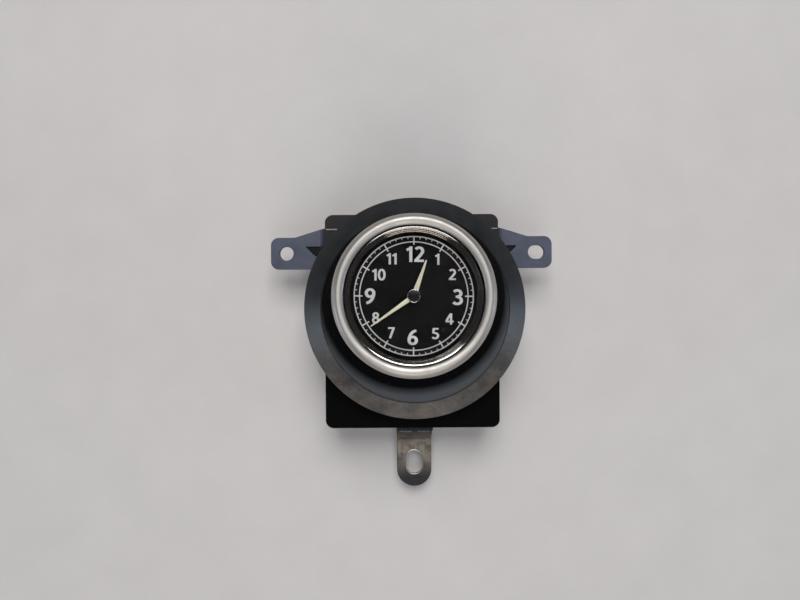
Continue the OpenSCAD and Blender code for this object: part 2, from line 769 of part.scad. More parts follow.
// Three screws that hold the shroud in the collar
module shroud_screws() color([0.7, 0.7, 0.72]) on_skirt() {
  ledge_s = spigot_s - ledge_t;
  for (a = [90:120:330]) rotate(a) translate([screw_ring_r, 0, 0]) difference() {
    union() {
      rod(shroud_head_r, ledge_s - 1.2, ledge_s);
      rod(shroud_screw_r - press, ledge_s, seat_s);
    }
    translate([0, 0, ledge_s - 1.2]) cube([0.5, 4, 1], center = true);
  }
}

// Box with the collar that takes the shroud
module front_housing() color([0.09, 0.09, 0.1]) difference() {
  union() {
    difference() {
      slab(case_w, case_h, case_corner, shell_z, case_d);
      slab(in_w, in_h, 1, shell_z - 1, front_in_z);
      translate([-far / 2, half_h - strip_w, case_d - strip_d]) cube(far);
    }
    on_skirt() rod(collar_r, front_in_z, seat_s);
    four(boss_x, boss_y) rod(boss_r, shell_z, front_in_z + 0.5);
  }
  on_skirt() {
    rod(collar_in_r, spigot_s, far);
    rod(collar_in_r, 0, spigot_s - ledge_t);
    rod(web_r, 0, far);
    for (a = [90:120:330]) rotate(a) translate([screw_ring_r, 0, 0]) rod(shroud_screw_r, 0, seat_s);
  }
  four(boss_x, boss_y) rod(screw_r + press, shell_z - 1, front_in_z - 2);
  for (x = [-1, 1], y = ear_rivet_ys) {
    translate([x * half_w, y, ear_rivet_z]) rotate([0, 90, 0]) rod(rivet_r + rivet_gap, -5, 5);
  }
  for (x = [-1, 1]) {
    translate([strap_shift + x * strap_rivet_x, -half_h, strap_rivet_z]) rotate([90, 0, 0]) {
      rod(rivet_r + rivet_gap, -5, 5);
    }
  }
}

// Gasket between the box and its cover
module cover_gasket() color([0.2, 0.2, 0.2]) difference() {
  slab(case_w, case_h, case_corner, cover_t, shell_z);
  slab(in_w, in_h, 1, cover_t - 1, shell_z + 1);
}

// Rear cover with board posts, screw recesses and the connector window
module rear_cover() color([0.1, 0.1, 0.105]) difference() {
  union() {
    slab(case_w, case_h, case_corner, 0, cover_t);
    four(post_x, post_y) rod(post_r, cover_t - 0.5, board_z);
    difference() {
      slab(in_w - 2 * slip, in_h - 2 * slip, 1, cover_t - 0.5, shell_z + lip_h);
      slab(in_w - 2 * lip_t, in_h - 2 * lip_t, 1, cover_t - 1, far);
      four(boss_x, boss_y) rod(boss_r + 0.4, 0, far);
    }
  }
  translate([0, -plug_y, 0]) cube([plug_w + 0.4, plug_h + 0.4, far], center = true);
  four(boss_x, boss_y) {
    rod(head_r + 0.3, -1, head_h + 0.4);
    rod(screw_r + 0.15, -1, cover_t + 1);
  }
  four(post_x, post_y) rod(board_screw_r + press, 1.5, board_z + 1);
}

// Four screws through the cover into the box
module cover_screws() color([0.6, 0.6, 0.62]) four(boss_x, boss_y) difference() {
  union() {
    rod(head_r, 0.4, head_h + 0.4);
    rod(screw_r, head_h + 0.4, cover_screw_z);
  }
  for (a = [0, 90]) rotate(a) translate([0, 0, 0.4]) cube([0.7, 3.4, 2], center = true);
}

// Circuit board on the posts of the cover
module circuit_board() color([0.08, 0.27, 0.14]) difference() {
  slab(board_w, board_h, 1.5, board_z, board_top_z);
  four(post_x, post_y) rod(1.1, board_z - 1, board_top_z + 1);
  for (i = [0:pin_count - 1]) {
    translate([(i - (pin_count - 1) / 2) * pin_pitch, -plug_y, board_z]) {
      cube([pin_w + 0.1, pin_w + 0.1, far], center = true);
    }
  }
}

// Four screws that hold the board
module board_screws() color([0.75, 0.75, 0.76]) four(post_x, post_y) difference() {
  union() {
    rod(2, board_top_z, board_top_z + 1.2);
    rod(board_screw_r, 2, board_top_z);
  }
  translate([0, 0, board_top_z + 1.2]) cube([0.5, 5, 1], center = true);
}

// Driver chip with its row of legs on each side
module control_chip() color([0.05, 0.05, 0.055]) translate([chip_x, chip_y, board_top_z]) {
  leg = 0.4;
  translate([-chip_w / 2, -chip_h / 2, 0.2]) cube([chip_w, chip_h, 1.5]);
  for (x = [-1, 1], i = [-2:2]) translate([x * chip_w / 2 - 0.7, i * chip_h / 5 - leg / 2, 0]) {
    cube([1.4, leg, 0.9]);
  }
}

// Quartz crystal in its metal can
module quartz_crystal() color([0.8, 0.8, 0.79]) translate([chip_x, can_y, 0]) {
  foot_w = can_w + 2 * can_flange;
  slab(can_l + 2 * can_flange, foot_w, foot_w * 0.498, board_top_z, board_top_z + 0.5);
  slab(can_l, can_w, can_w * 0.498, board_top_z + 0.5, board_top_z + can_h);
}

// Two capacitors that smooth the supply
module capacitors() color([0.12, 0.13, 0.2]) {
  for (y = cap_ys) translate([cap_x, y, 0]) {
    rod(cap_can_r, board_top_z, board_top_z + cap_can_h - cap_edge);
    rod(cap_can_r - cap_edge / 2, board_top_z + cap_can_h - cap_edge, board_top_z + cap_can_h);
  }
}

// Keyed connector shell that opens at the rear face
module connector_shell() color([0.13, 0.13, 0.14]) translate([0, -plug_y, 0]) difference() {
  translate([-plug_w / 2, -plug_h / 2, 0.3]) cube([plug_w, plug_h, board_z - 0.3]);
  translate([plug_wall - plug_w / 2, plug_wall - plug_h / 2, -1]) {
    cube([plug_w - 2 * plug_wall, plug_h - 2 * plug_wall, board_z - 1]);
  }
  translate([-2, plug_h / 2 - plug_wall - 0.5, -1]) cube([4, plug_wall, board_z - 3]);
  for (i = [0:pin_count - 1]) {
    translate([(i - (pin_count - 1) / 2) * pin_pitch, 0, 0]) {
      cube([pin_w + 0.1, pin_w + 0.1, far], center = true);
    }
  }
}

// Four pins of the connector
module connector_pins() color([0.85, 0.76, 0.45]) {
  for (i = [0:pin_count - 1]) {
    translate([(i - (pin_count - 1) / 2) * pin_pitch - pin_w / 2, -plug_y - pin_w / 2, 2]) {
      cube([pin_w, pin_w, board_top_z - 1]);
    }
  }
}

// Unit vector from one point to another
function toward(p, q) = (q - p) / norm(q - p);

// A polygon's corner turned into an arc of radius r
function corner_arc(before, p, after, r) =
  let (
    a = toward(p, before),
    b = toward(p, after),
    half = acos(a * b) / 2,
    centre = p + (a + b) / norm(a + b) * r / sin(half),
    u = toward(centre, p + a * r / tan(half)),
    v = toward(centre, p + b * r / tan(half))
  )
  [for (k = [0:6]) centre + r * (u * (6 - k) + v * k) / norm(u * (6 - k) + v * k)];

// A polygon whose corners have the radii in rs, where 0 keeps a sharp corner
function rounded(points, rs) =
  let (n = len(points))
  [for (i = [0:n - 1]) each rs[i] == 0 ? [points[i]]
    : corner_arc(points[(i + n - 1) % n], points[i], points[(i + 1) % n], rs[i])];

// Outline of the right-hand ear, seen from the front
module ear_outline(slot) {
  difference() {
    polygon(rounded([[half_w, ear_low], [ear_end, ear_low], [ear_end, ear_high],
      [ear_hole_x - ear_shoulder, ear_high], [half_w, ear_top]], [0, ear_round, ear_round, ear_round, 0]));
    for (x = [-slot / 2, slot / 2]) translate([ear_hole_x + x, ear_hole_y]) circle(d = ear_hole_d);
    translate([ear_hole_x, ear_hole_y]) square([max(slot, 0.01), ear_hole_d], center = true);
  }
}

// Window of the right-hand ear from distance x0 beside the box, drawn smaller by a gap
module ear_window(x0, gap) {
  polygon([[half_w + x0, window_high - gap], [half_w + window_w - 2 * gap, window_high - gap],
    [half_w + window_tip - gap, window_low + window_rise + gap],
    [half_w + window_foot - gap, window_low + gap], [half_w + x0, window_low + gap]]);
}

// One ear bent from plate, its leg against the right side of the box
module ear(slot) difference() {
  low = ear_z - ear_leg;
  intersection() {
    translate([0, ear_top, 0]) rotate([90, 0, 0]) linear_extrude(height = ear_top - ear_low) {
      polygon(rounded([[half_w, low], [half_w + ear_t, low], [half_w + ear_t, ear_z - ear_t],
        [ear_end + 1, ear_z - ear_t], [ear_end + 1, ear_z], [half_w, ear_z]],
        [0, 0, bend_r, 0, 0, bend_r + ear_t]));
    }
    at(low - 1) linear_extrude(height = far) ear_outline(slot);
  }
  at(ear_z - ear_t - bend_r) linear_extrude(height = far) ear_window(-1, 0);
  for (y = ear_rivet_ys) {
    translate([half_w, y, ear_rivet_z]) rotate([0, 90, 0]) rod(rivet_r + rivet_gap, -5, 5);
  }
}

// Left ear with the round hole
module left_ear() color([0.25, 0.27, 0.31]) mirror([1, 0, 0]) ear(0);

// Right ear with the slotted hole
module right_ear() color([0.25, 0.27, 0.31]) ear(ear_slot);

// Rubber pads pressed up into the windows of the ears
module ear_pads() color([0.07, 0.07, 0.07]) for (m = [0, 1]) mirror([m, 0, 0]) {
  under_z = ear_z - ear_t;
  pad_x = half_w + ear_t + bend_r + slip;
  at(under_z - bend_r + slip) linear_extrude(height = ear_t + bend_r - slip - pad_sink) ear_window(slip, slip);
  translate([pad_x, window_low - pad_flange, under_z - pad_t]) {
    cube([half_w + window_w + pad_flange - pad_x, window_high - window_low + 2 * pad_flange, pad_t]);
  }
}

// A rivet along +Z that clamps plate t onto the wall below it
module rivet(t) {
  rod(rivet_r, -case_wall - 0.4, t + 0.2);
  rod(rivet_head_r, t, t + rivet_head_t);
  rod(rivet_head_r - 0.4, -case_wall - 0.7, -case_wall);
}

// Four rivets that hold the ears
module ear_rivets() color([0.6, 0.6, 0.6]) {
  for (m = [0, 1], y = ear_rivet_ys) mirror([m, 0, 0]) {
    translate([half_w, y, ear_rivet_z]) rotate([0, 90, 0]) rivet(ear_t);
  }
}

// Steel strap below the box, with its long slot
module lower_strap() color([0.5, 0.48, 0.45]) difference() {
  tip = strap_reach + strap_slot_l;
  translate([strap_shift, 0, 0]) intersection() {
    rotate([90, 0, -90]) linear_extrude(height = strap_w, center = true) {
      polygon(rounded([[half_h, strap_up_z + strap_leg], [half_h, strap_up_z], [strap_knee, strap_up_z],
        [strap_foot, strap_z], [far, strap_z], [far, strap_z + strap_t], [strap_foot + 0.8, strap_z + strap_t],
        [strap_knee + 0.8, strap_up_z + strap_t], [half_h + strap_t, strap_up_z + strap_t],
        [half_h + strap_t, strap_up_z + strap_leg]],
        [0, bend_r + strap_t, bend_r, bend_r + strap_t, 0, 0, bend_r, bend_r + strap_t, bend_r, 0]));
    }
    linear_extrude(height = far) {
      translate([0, -(tip - strap_w / 2)]) circle(d = strap_w);
      translate([-strap_w / 2, -(tip - strap_w / 2)]) square([strap_w, tip]);
    }
  }
  translate([strap_shift, -strap_reach, 0]) linear_extrude(height = far) {
    square([strap_slot_w, strap_slot_l - strap_slot_w], center = true);
    for (y = [-1, 1]) translate([0, y * (strap_slot_l - strap_slot_w) / 2]) circle(d = strap_slot_w);
  }
  for (x = [-1, 1]) {
    translate([strap_shift + x * strap_rivet_x, -half_h, strap_rivet_z]) rotate([90, 0, 0]) {
      rod(rivet_r + rivet_gap, -5, 5);
    }
  }
}

// Two rivets that hold the strap
module strap_rivets() color([0.6, 0.6, 0.6]) {
  for (x = [-1, 1]) translate([strap_shift + x * strap_rivet_x, -half_h, strap_rivet_z]) {
    rotate([90, 0, 0]) rivet(strap_t);
  }
}

bezel_ring();
lens();
lens_seal();
reflector_ring();
dial_plate();
light_guide();
lamp_board();
dial_lamps();
hour_hand();
minute_hand();
hub_cap();
hour_wheel();
minute_wheel();
cannon_pinion();
centre_wheel();
third_wheel();
rotor_arbor();
rotor_magnet();
main_plate();
bridge_plate();
movement_pillars();
movement_screws();
stator();
coil_core();
coil_bobbin();
coil_winding();
stator_screws();
terminal_block();
motor_ribbon();
ribbon_socket();
shroud();
shroud_screws();
front_housing();
cover_gasket();
rear_cover();
cover_screws();
circuit_board();
board_screws();
control_chip();
quartz_crystal();
capacitors();
connector_shell();
connector_pins();
left_ear();
right_ear();
ear_pads();
ear_rivets();
lower_strap();
strap_rivets();
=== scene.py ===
"""Looks of the dashboard clock: turned rings, printed dial, hands, coil, mountings and their finishes.

Sizes are in millimetres and become metres as a mesh is made. A height s is measured from the rear face.
The dial axis stands above the middle of the box, toward 12 o'clock, and the skirt's axis lies between the two.
"""

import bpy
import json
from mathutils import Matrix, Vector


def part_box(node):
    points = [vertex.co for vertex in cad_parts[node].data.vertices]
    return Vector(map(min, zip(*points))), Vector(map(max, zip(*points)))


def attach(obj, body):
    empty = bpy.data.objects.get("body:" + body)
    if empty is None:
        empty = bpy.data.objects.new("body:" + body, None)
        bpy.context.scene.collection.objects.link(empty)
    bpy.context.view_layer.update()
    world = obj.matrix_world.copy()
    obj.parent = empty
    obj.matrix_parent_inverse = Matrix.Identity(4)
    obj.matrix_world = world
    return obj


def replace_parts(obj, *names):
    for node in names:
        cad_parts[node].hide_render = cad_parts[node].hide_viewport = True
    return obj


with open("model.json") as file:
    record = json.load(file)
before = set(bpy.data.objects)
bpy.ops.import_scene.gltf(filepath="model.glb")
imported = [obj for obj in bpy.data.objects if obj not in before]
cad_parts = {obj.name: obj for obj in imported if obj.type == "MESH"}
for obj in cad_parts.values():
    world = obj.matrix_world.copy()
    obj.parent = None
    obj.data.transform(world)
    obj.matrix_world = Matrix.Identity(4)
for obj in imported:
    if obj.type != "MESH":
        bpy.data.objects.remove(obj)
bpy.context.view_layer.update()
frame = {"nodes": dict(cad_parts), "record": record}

import json
import logging
import math
from dataclasses import dataclass
from enum import Enum, StrEnum, auto

import bmesh
import bpy
import numpy as np
from mathutils import Vector

Array = np.ndarray
Socket = bpy.types.NodeSocket
Colour = tuple[float, float, float]
Vec = tuple[float, float, float]
Span = tuple[float, float]
MM = 0.001
WELD = 1e-7
TURN = 2.0 * math.pi
LOG = logging.getLogger("clock")


class Body(StrEnum):
    """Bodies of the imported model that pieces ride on."""

    CASE = auto()
    MINUTE = auto()
    HOUR = auto()


# ---- finishes


class Sheet:
    """Node tree of one material, with short calls for the nodes that the finishes share."""

    MIX_INPUTS = (0, 6, 7)
    MIX_RESULT = 2

    def __init__(self, name: str) -> None:
        """Starts an empty tree with a shader and its output.

        Args:
            name: Name of the material.
        """
        self.material = bpy.data.materials.new(name)
        self.material.use_nodes = True
        self.tree = self.material.node_tree
        self.tree.nodes.clear()
        self.shader = self.add("BsdfPrincipled")
        self.add("OutputMaterial", Surface=self.shader.outputs["BSDF"])

    def add(self, kind: str, *sources: object, **values: object) -> bpy.types.Node:
        """Adds a node, sets its properties and feeds its inputs.

        Args:
            kind: Blender's name of the node type, without its prefix.
            *sources: Sources of the first inputs, in order.
            **values: Properties, whose names are in small letters, and sources of named inputs.

        Returns:
            The new node.
        """
        node = self.tree.nodes.new("ShaderNode" + kind)
        for key in [key for key in values if key.islower()]:
            setattr(node, key, values.pop(key))
        for socket, source in zip(node.inputs, sources):
            self.plug(socket, source)
        self.feed(node, **values)
        return node

    def plug(self, socket: Socket, source: object) -> None:
        """Links a socket to its source, or sets it where the source is a plain value.

        Args:
            socket: Input to feed.
            source: Another socket, or a value.
        """
        if isinstance(source, Socket):
            self.tree.links.new(source, socket)
        else:
            socket.default_value = source

    def feed(self, node: bpy.types.Node, **sources: object) -> None:
        """Sets or links a node's inputs, whose names have _ for a space."""
        for key, source in sources.items():
            self.plug(node.inputs[key.replace("_", " ")], source)

    def coords(self, turn: float = 0.0, scale: Vec = (1.0, 1.0, 1.0), x: float = 0.0, y: float = 0.0) -> Socket:
        """Object coordinates, turned about X, scaled and centred on a place.

        Args:
            turn: Angle in degrees.
            scale: Scale along each axis.
            x: Place along X in millimetres.
            y: Place along Y in millimetres.

        Returns:
            The coordinates.
        """
        spin, shift = (math.radians(turn), 0.0, 0.0), (-x * MM, -y * MM, 0.0)
        source = self.add("TexCoord").outputs["Object"]
        return self.add("Mapping", Vector=source, Scale=scale, Rotation=spin, Location=shift).outputs["Vector"]

    def split(self, vector: Socket) -> bpy.types.NodeOutputs:
        """Outputs X, Y and Z of a vector."""
        return self.add("SeparateXYZ", Vector=vector).outputs

    def from_axis(self, x: float, y: float) -> tuple[Socket, Socket]:
        """Distance from an upright axis at a place in millimetres, and height toward 12 o'clock above it."""
        flat = self.coords(scale=(1.0, 1.0, 0.0), x=x, y=y)
        return self.add("VectorMath", operation="LENGTH", Vector=flat).outputs["Value"], self.split(flat)["Y"]

    def noise(self, vector: Socket, scale: float, detail: float = 3.0, rough: float = 0.55) -> Socket:
        """Fractal noise: waves per metre, number of octaves and share of the fine ones."""
        return self.add("TexNoise", Vector=vector, Scale=scale, Detail=detail, Roughness=rough).outputs["Fac"]

    def band(self, value: Socket, low: float, high: float, start: float = 0.3, end: float = 0.7) -> Socket:
        """Carries a factor from the range start to end into low to high."""
        node = self.add("MapRange", Value=value, From_Min=start, From_Max=end, To_Min=low, To_Max=high)
        return node.outputs["Result"]

    def reach(self, value: Socket, ends: Span, low: float = 0.0, high: float = 1.0) -> Socket:
        """Low value at the first of two places in millimetres, changing to the high value at the second."""
        return self.band(value, low, high, ends[0] * MM, ends[1] * MM)

    def mix(self, share: Socket, first: Socket | Colour, second: Socket | Colour) -> Socket:
        """Mixes two colours.

        Args:
            share: Share of the second colour.
            first: Socket or plain colour.
            second: Socket or plain colour.

        Returns:
            The mixed colour.
        """
        node = self.add("Mix", data_type="RGBA")
        for place, source in zip(self.MIX_INPUTS, (share, first, second)):
            self.plug(node.inputs[place], source if isinstance(source, Socket) else (*source, 1.0))
        return node.outputs[self.MIX_RESULT]

    def calc(self, operation: str, *sources: Socket | float) -> Socket:
        """One step of arithmetic on factors, taken in order."""
        return self.add("Math", *sources, operation=operation).outputs["Value"]

    def sum(self, first: Socket, second: Socket, share: float) -> Socket:
        """First factor plus share times the second."""
        return self.calc("MULTIPLY_ADD", second, share, first)

    def times(self, first: Socket, second: Socket) -> Socket:
        """Product of two factors."""
        return self.calc("MULTIPLY", first, second)

    def relief(self, height: Socket, strength: float, depth: float) -> None:
        """Gives the shader a bump of the given depth in millimetres."""
        bump = self.add("Bump", Height=height, Strength=strength, Distance=depth * MM)
        self.feed(self.shader, Normal=bump.outputs["Normal"])


@dataclass(frozen=True)
class Finish:
    """A finish: its colour, gloss and the words that name its material."""

    name: str
    colour: Colour
    roughness: float

    def material(self) -> bpy.types.Material:
        """Makes the material the first time it is asked for.

        Returns:
            The finish's material.
        """
        found = bpy.data.materials.get("finish_" + self.name)
        if found is None:
            sheet = Sheet("finish_" + self.name)
            self.paint(sheet)
            found = sheet.material
        return found

    def paint(self, sheet: Sheet) -> None:
        """Draws the finish's nodes; each kind of finish has its own."""
        raise NotImplementedError

    def gloss(self, sheet: Sheet, wave: Socket, low: float, high: float) -> Socket:
        """Roughness that swings with a wave between two shares of the finish's own."""
        return sheet.band(wave, self.roughness * low, min(1.0, self.roughness * high))

    def dress(self, obj: bpy.types.Object) -> None:
        """Gives a piece this finish alone."""
        obj.data.materials.clear()
        obj.data.materials.append(self.material())


@dataclass(frozen=True)
class Moulded(Finish):
    """Moulded or painted surface: fine grain, slow mottle in colour and gloss, and a few pale scuffs."""

    mottle: Colour = (0.03, 0.03, 0.03)
    mottle_scale: float = 90.0
    grain_scale: float = 2600.0
    grain_depth: float = 0.012
    scuffs: float = 0.0
    specular: float = 0.5

    GRAIN_SHARE = 0.25
    SCUFF_TURN = 24.0
    SCUFF_STRETCH = (1.0, 0.09, 0.2)
    SCUFF_SCALE = 1500.0
    SCUFF_BAND = (0.62, 0.8)

    def paint(self, sheet: Sheet) -> None:
        """Mottle drives colour and gloss, grain drives the bump, and stretched noise draws the scuffs.

        Args:
            sheet: Node tree to draw in.
        """
        at = sheet.coords()
        slow = sheet.noise(at, self.mottle_scale, detail=6.0, rough=0.62)
        grain = sheet.noise(at, self.grain_scale)
        tone = sheet.sum(sheet.band(slow, 0.0, 1.0), grain, self.GRAIN_SHARE)
        if self.scuffs:
            drawn = sheet.coords(self.SCUFF_TURN, self.SCUFF_STRETCH)
            streaks = sheet.noise(drawn, self.SCUFF_SCALE, detail=4.0, rough=0.7)
            tone = sheet.sum(tone, sheet.band(streaks, 0.0, 1.0, *self.SCUFF_BAND), self.scuffs)
        colour = self.tint(sheet, sheet.mix(tone, self.colour, self.mottle), slow)
        gloss = self.gloss(sheet, slow, 0.86, 1.18)
        sheet.feed(sheet.shader, Base_Color=colour, Roughness=gloss, Specular_IOR_Level=self.specular)
        sheet.relief(grain, 0.5, self.grain_depth)

    def tint(self, sheet: Sheet, colour: Socket, slow: Socket) -> Socket:
        """Colour of the surface; a plain moulding keeps its mottled colour."""
        return colour


@dataclass(frozen=True)
class Faced(Moulded):
    """Moulding with painted shade: its front face goes matt and deep black toward 6 o'clock, where the skirt's shadow
    falls, while its sides keep their sheen.
    """

    # Painted shade: near black colour and little sheen on the front face, in the skirt's shadow.
    deep: Colour = (0.0016, 0.0016, 0.0017)
    deep_specular: float = 0.03
    front: Span = (25.2, 25.8)
    fall: Span = (22.0, -12.0)

    def share(self, sheet: Sheet) -> Socket:
        """Share of the painted shade: full on the front face below the fall."""
        place = sheet.split(sheet.coords())
        return sheet.times(sheet.reach(place["Z"], self.front), sheet.reach(place["Y"], self.fall))

    def tint(self, sheet: Sheet, colour: Socket, slow: Socket) -> Socket:
        """Mottled colour mixed with the painted shade."""
        return sheet.mix(self.share(sheet), colour, self.deep)

    def paint(self, sheet: Sheet) -> None:
        """Paints the moulding, then takes the sheen away with the same share of painted shade.

        Args:
            sheet: Node tree to draw in.
        """
        super().paint(sheet)
        sheen = sheet.band(self.share(sheet), self.specular, self.deep_specular, 0.0, 1.0)
        sheet.feed(sheet.shader, Specular_IOR_Level=sheen)


@dataclass(frozen=True)
class DustyPaintedLight(Moulded):
    """Moulding with a brown film low on its cone that is partly dust and partly painted warm reflection, a glossy
    shelf, painted shade of deep black round its neck, and a painted bluish tint on its reflections.
    """

    # Brown film on the lower cone: partly dust, partly painted warm reflection of light from 6 o'clock.
    dust: Colour = (0.150, 0.130, 0.113)
    # Painted shade: near black colour and little sheen round the neck, where the head shades the shelf.
    deep: Colour = (0.0015, 0.0016, 0.0018)
    deep_specular: float = 0.045
    lint: Colour = (0.020, 0.0195, 0.018)
    speck_scale: float = 900.0
    lint_scale: float = 1500.0
    lint_reach: Span = (0.70, 0.80)
    centre: Span = (0.8, 4.9)
    inner: Span = (33.3, 33.7)
    fall: Span = (4.0, -34.0)
    neck_centre: Span = (0.0, 9.2)
    neck_reach: Span = (32.3, 35.4)
    shelf_specular: float = 1.0
    # Painted bluish tint on every reflection, standing in for bluish light from the sides.
    sheen_colour: Colour = (0.90, 0.95, 1.0)

    def cone(self, sheet: Sheet) -> tuple[Socket, Socket]:
        """1 on the cone and 0 inside it, and the height above the cone's axis."""
        far, height = sheet.from_axis(*self.centre)
        return sheet.reach(far, self.inner), height

    def near(self, sheet: Sheet, low: float, high: float) -> Socket:
        """The high value away from the neck, falling to the low value near it."""
        far, _ = sheet.from_axis(*self.neck_centre)
        return sheet.reach(far, self.neck_reach, low, high)

    def tint(self, sheet: Sheet, colour: Socket, slow: Socket) -> Socket:
        """Mixes in painted shade, deep black, near the neck; a brown film on the cone, partly dust and partly painted
        warm reflection, more toward 6 o'clock; and sparse lint.

        Args:
            sheet: Node tree to draw in.
            colour: Colour of the clean moulding.
            slow: Slow mottle.

        Returns:
            The mixed colour.
        """
        cone, height = self.cone(sheet)
        # Painted shade: deep black near the neck, where the head shades the shelf.
        deep = sheet.band(sheet.calc("MAXIMUM", self.near(sheet, 0.0, 1.0), cone), 1.0, 0.0, 0.0, 1.0)
        specks = sheet.band(sheet.noise(sheet.coords(), self.speck_scale, detail=4.0, rough=0.7), 0.55, 1.15)
        # Brown film low on the cone, more toward 6 o'clock: dust and painted warm reflection.
        low = sheet.times(cone, sheet.reach(height, self.fall))
        share = sheet.times(sheet.times(low, sheet.band(slow, 0.35, 1.0)), specks)
        flecks = sheet.noise(sheet.coords(), self.lint_scale, detail=1.0, rough=0.4)
        lint = sheet.band(flecks, 0.0, 1.0, *self.lint_reach)
        return sheet.mix(lint, sheet.mix(share, sheet.mix(deep, colour, self.deep), self.dust), self.lint)

    def paint(self, sheet: Sheet) -> None:
        """Paints the moulding, then gives shelf and cone their sheen and takes it away toward the neck with the
        painted shade, and tints every reflection blue as painted bluish light.

        Args:
            sheet: Node tree to draw in.
        """
        super().paint(sheet)
        cone, _ = self.cone(sheet)
        # The sheen falls toward the neck with the painted shade.
        shelf = sheet.times(self.near(sheet, self.deep_specular, self.shelf_specular),
                            sheet.band(cone, 1.0, 0.0, 0.0, 1.0))
        sheen = sheet.calc("MAXIMUM", shelf, sheet.band(cone, 0.0, self.specular, 0.0, 1.0))
        # Reflections tinted blue as painted bluish light.
        sheet.feed(sheet.shader, Specular_IOR_Level=sheen, Specular_Tint=(*self.sheen_colour, 1.0))


@dataclass(frozen=True)
class Metal(Finish):
    """Metal with fine tool lines, round the dial axis or along X, and a slow tarnish."""

    tarnish: Colour = (0.5, 0.5, 0.5)
    tarnish_scale: float = 160.0
    line_scale: float = 4200.0
    line_depth: float = 0.004
    ring_up: float | None = None

    LINE_STRETCH = (0.03, 1.0, 1.0)
    LINE_TONE = 0.3
    LINE_GLOSS = 0.06

    def paint(self, sheet: Sheet) -> None:
        """Lines are noise in the distance from the axis, or noise stretched along X; tarnish mixes the colours.

        Args:
            sheet: Node tree to draw in.
        """
        at = sheet.coords(y=self.ring_up or 0.0)
        if self.ring_up is None:
            drawn = sheet.coords(scale=self.LINE_STRETCH)
        else:
            far, _ = sheet.from_axis(0.0, self.ring_up)
            drawn = sheet.add("CombineXYZ", X=far, Y=sheet.split(at)["Z"]).outputs["Vector"]
        lines = sheet.noise(drawn, self.line_scale, detail=2.0)
        slow = sheet.noise(at, self.tarnish_scale, detail=5.0, rough=0.6)
        marks = sheet.band(lines, -0.5, 0.5)
        tone = sheet.sum(sheet.band(slow, 0.0, 1.0, 0.4, 0.8), marks, self.LINE_TONE)
        gloss = sheet.sum(self.gloss(sheet, slow, 0.9, 1.15), marks, self.LINE_GLOSS)
        sheet.feed(sheet.shader, Base_Color=sheet.mix(tone, self.colour, self.tarnish), Metallic=1.0, Roughness=gloss)
        sheet.relief(lines, 0.4, self.line_depth)


@dataclass(frozen=True)
class WornSteel(Finish):
    """Dull steel with olive and grey blotches, rubbed streaks and pits, and painted shade toward both ends."""

    brown: Colour = (0.055, 0.050, 0.042)
    # Colour of the painted shade at the strap's ends.
    dark: Colour = (0.026, 0.027, 0.031)
    blotch_scale: float = 150.0
    low_end: Span = (-64.5, -54.0)
    high_end: Span = (-43.5, -50.5)
    metallic: float = 0.4
    specular: float = 0.15
    streak_scale: float = 2200.0
    pit_scale: float = 2400.0
    pit_depth: float = 0.015

    STREAK_STRETCH = (1.0, 0.06, 1.0)
    BLOTCH_BAND = (0.34, 0.66)
    WEAR = 0.35

    def paint(self, sheet: Sheet) -> None:
        """Blotches mix two colours, a band along Y paints shade at both ends, and streaks and pits make the relief.

        Args:
            sheet: Node tree to draw in.
        """
        at = sheet.coords()
        blotch = sheet.noise(at, self.blotch_scale, detail=8.0, rough=0.72)
        streaks = sheet.noise(sheet.coords(scale=self.STREAK_STRETCH), self.streak_scale)
        pits = sheet.noise(at, self.pit_scale, detail=2.0)
        height = sheet.split(at)["Y"]
        # Painted shade: dark where the strap runs out from under the box and toward its tip.
        end_shade_share = sheet.times(sheet.reach(height, self.low_end), sheet.reach(height, self.high_end))
        end_shade_share = sheet.sum(end_shade_share, sheet.band(blotch, -0.5, 0.5, *self.BLOTCH_BAND), self.WEAR)
        rubbed = sheet.band(streaks, -0.5, 0.5)
        tone = sheet.sum(sheet.band(blotch, 0.0, 1.0, *self.BLOTCH_BAND), rubbed, self.WEAR)
        colour = sheet.mix(end_shade_share, self.dark, sheet.mix(tone, self.colour, self.brown))
        sheet.feed(sheet.shader, Base_Color=colour, Roughness=self.gloss(sheet, blotch, 0.8, 1.2))
        sheet.feed(sheet.shader, Metallic=self.metallic, Specular_IOR_Level=self.specular)
        sheet.relief(sheet.sum(pits, streaks, 0.6), 0.5, self.pit_depth)


@dataclass(frozen=True)
class Clear(Finish):
    """Clear glass or acrylic with a faint haze of handling marks."""

    ior: float = 1.45
    haze_scale: float = 140.0

    def paint(self, sheet: Sheet) -> None:
        """Full transmission; slow noise lifts the roughness a little.

        Args:
            sheet: Node tree to draw in.
        """
        slow = sheet.noise(sheet.coords(), self.haze_scale, detail=5.0)
        haze = sheet.band(slow, 0.0, self.roughness, 0.5, 0.8)
        sheet.feed(sheet.shader, Base_Color=(*self.colour, 1.0), Transmission_Weight=1.0, IOR=self.ior, Roughness=haze)


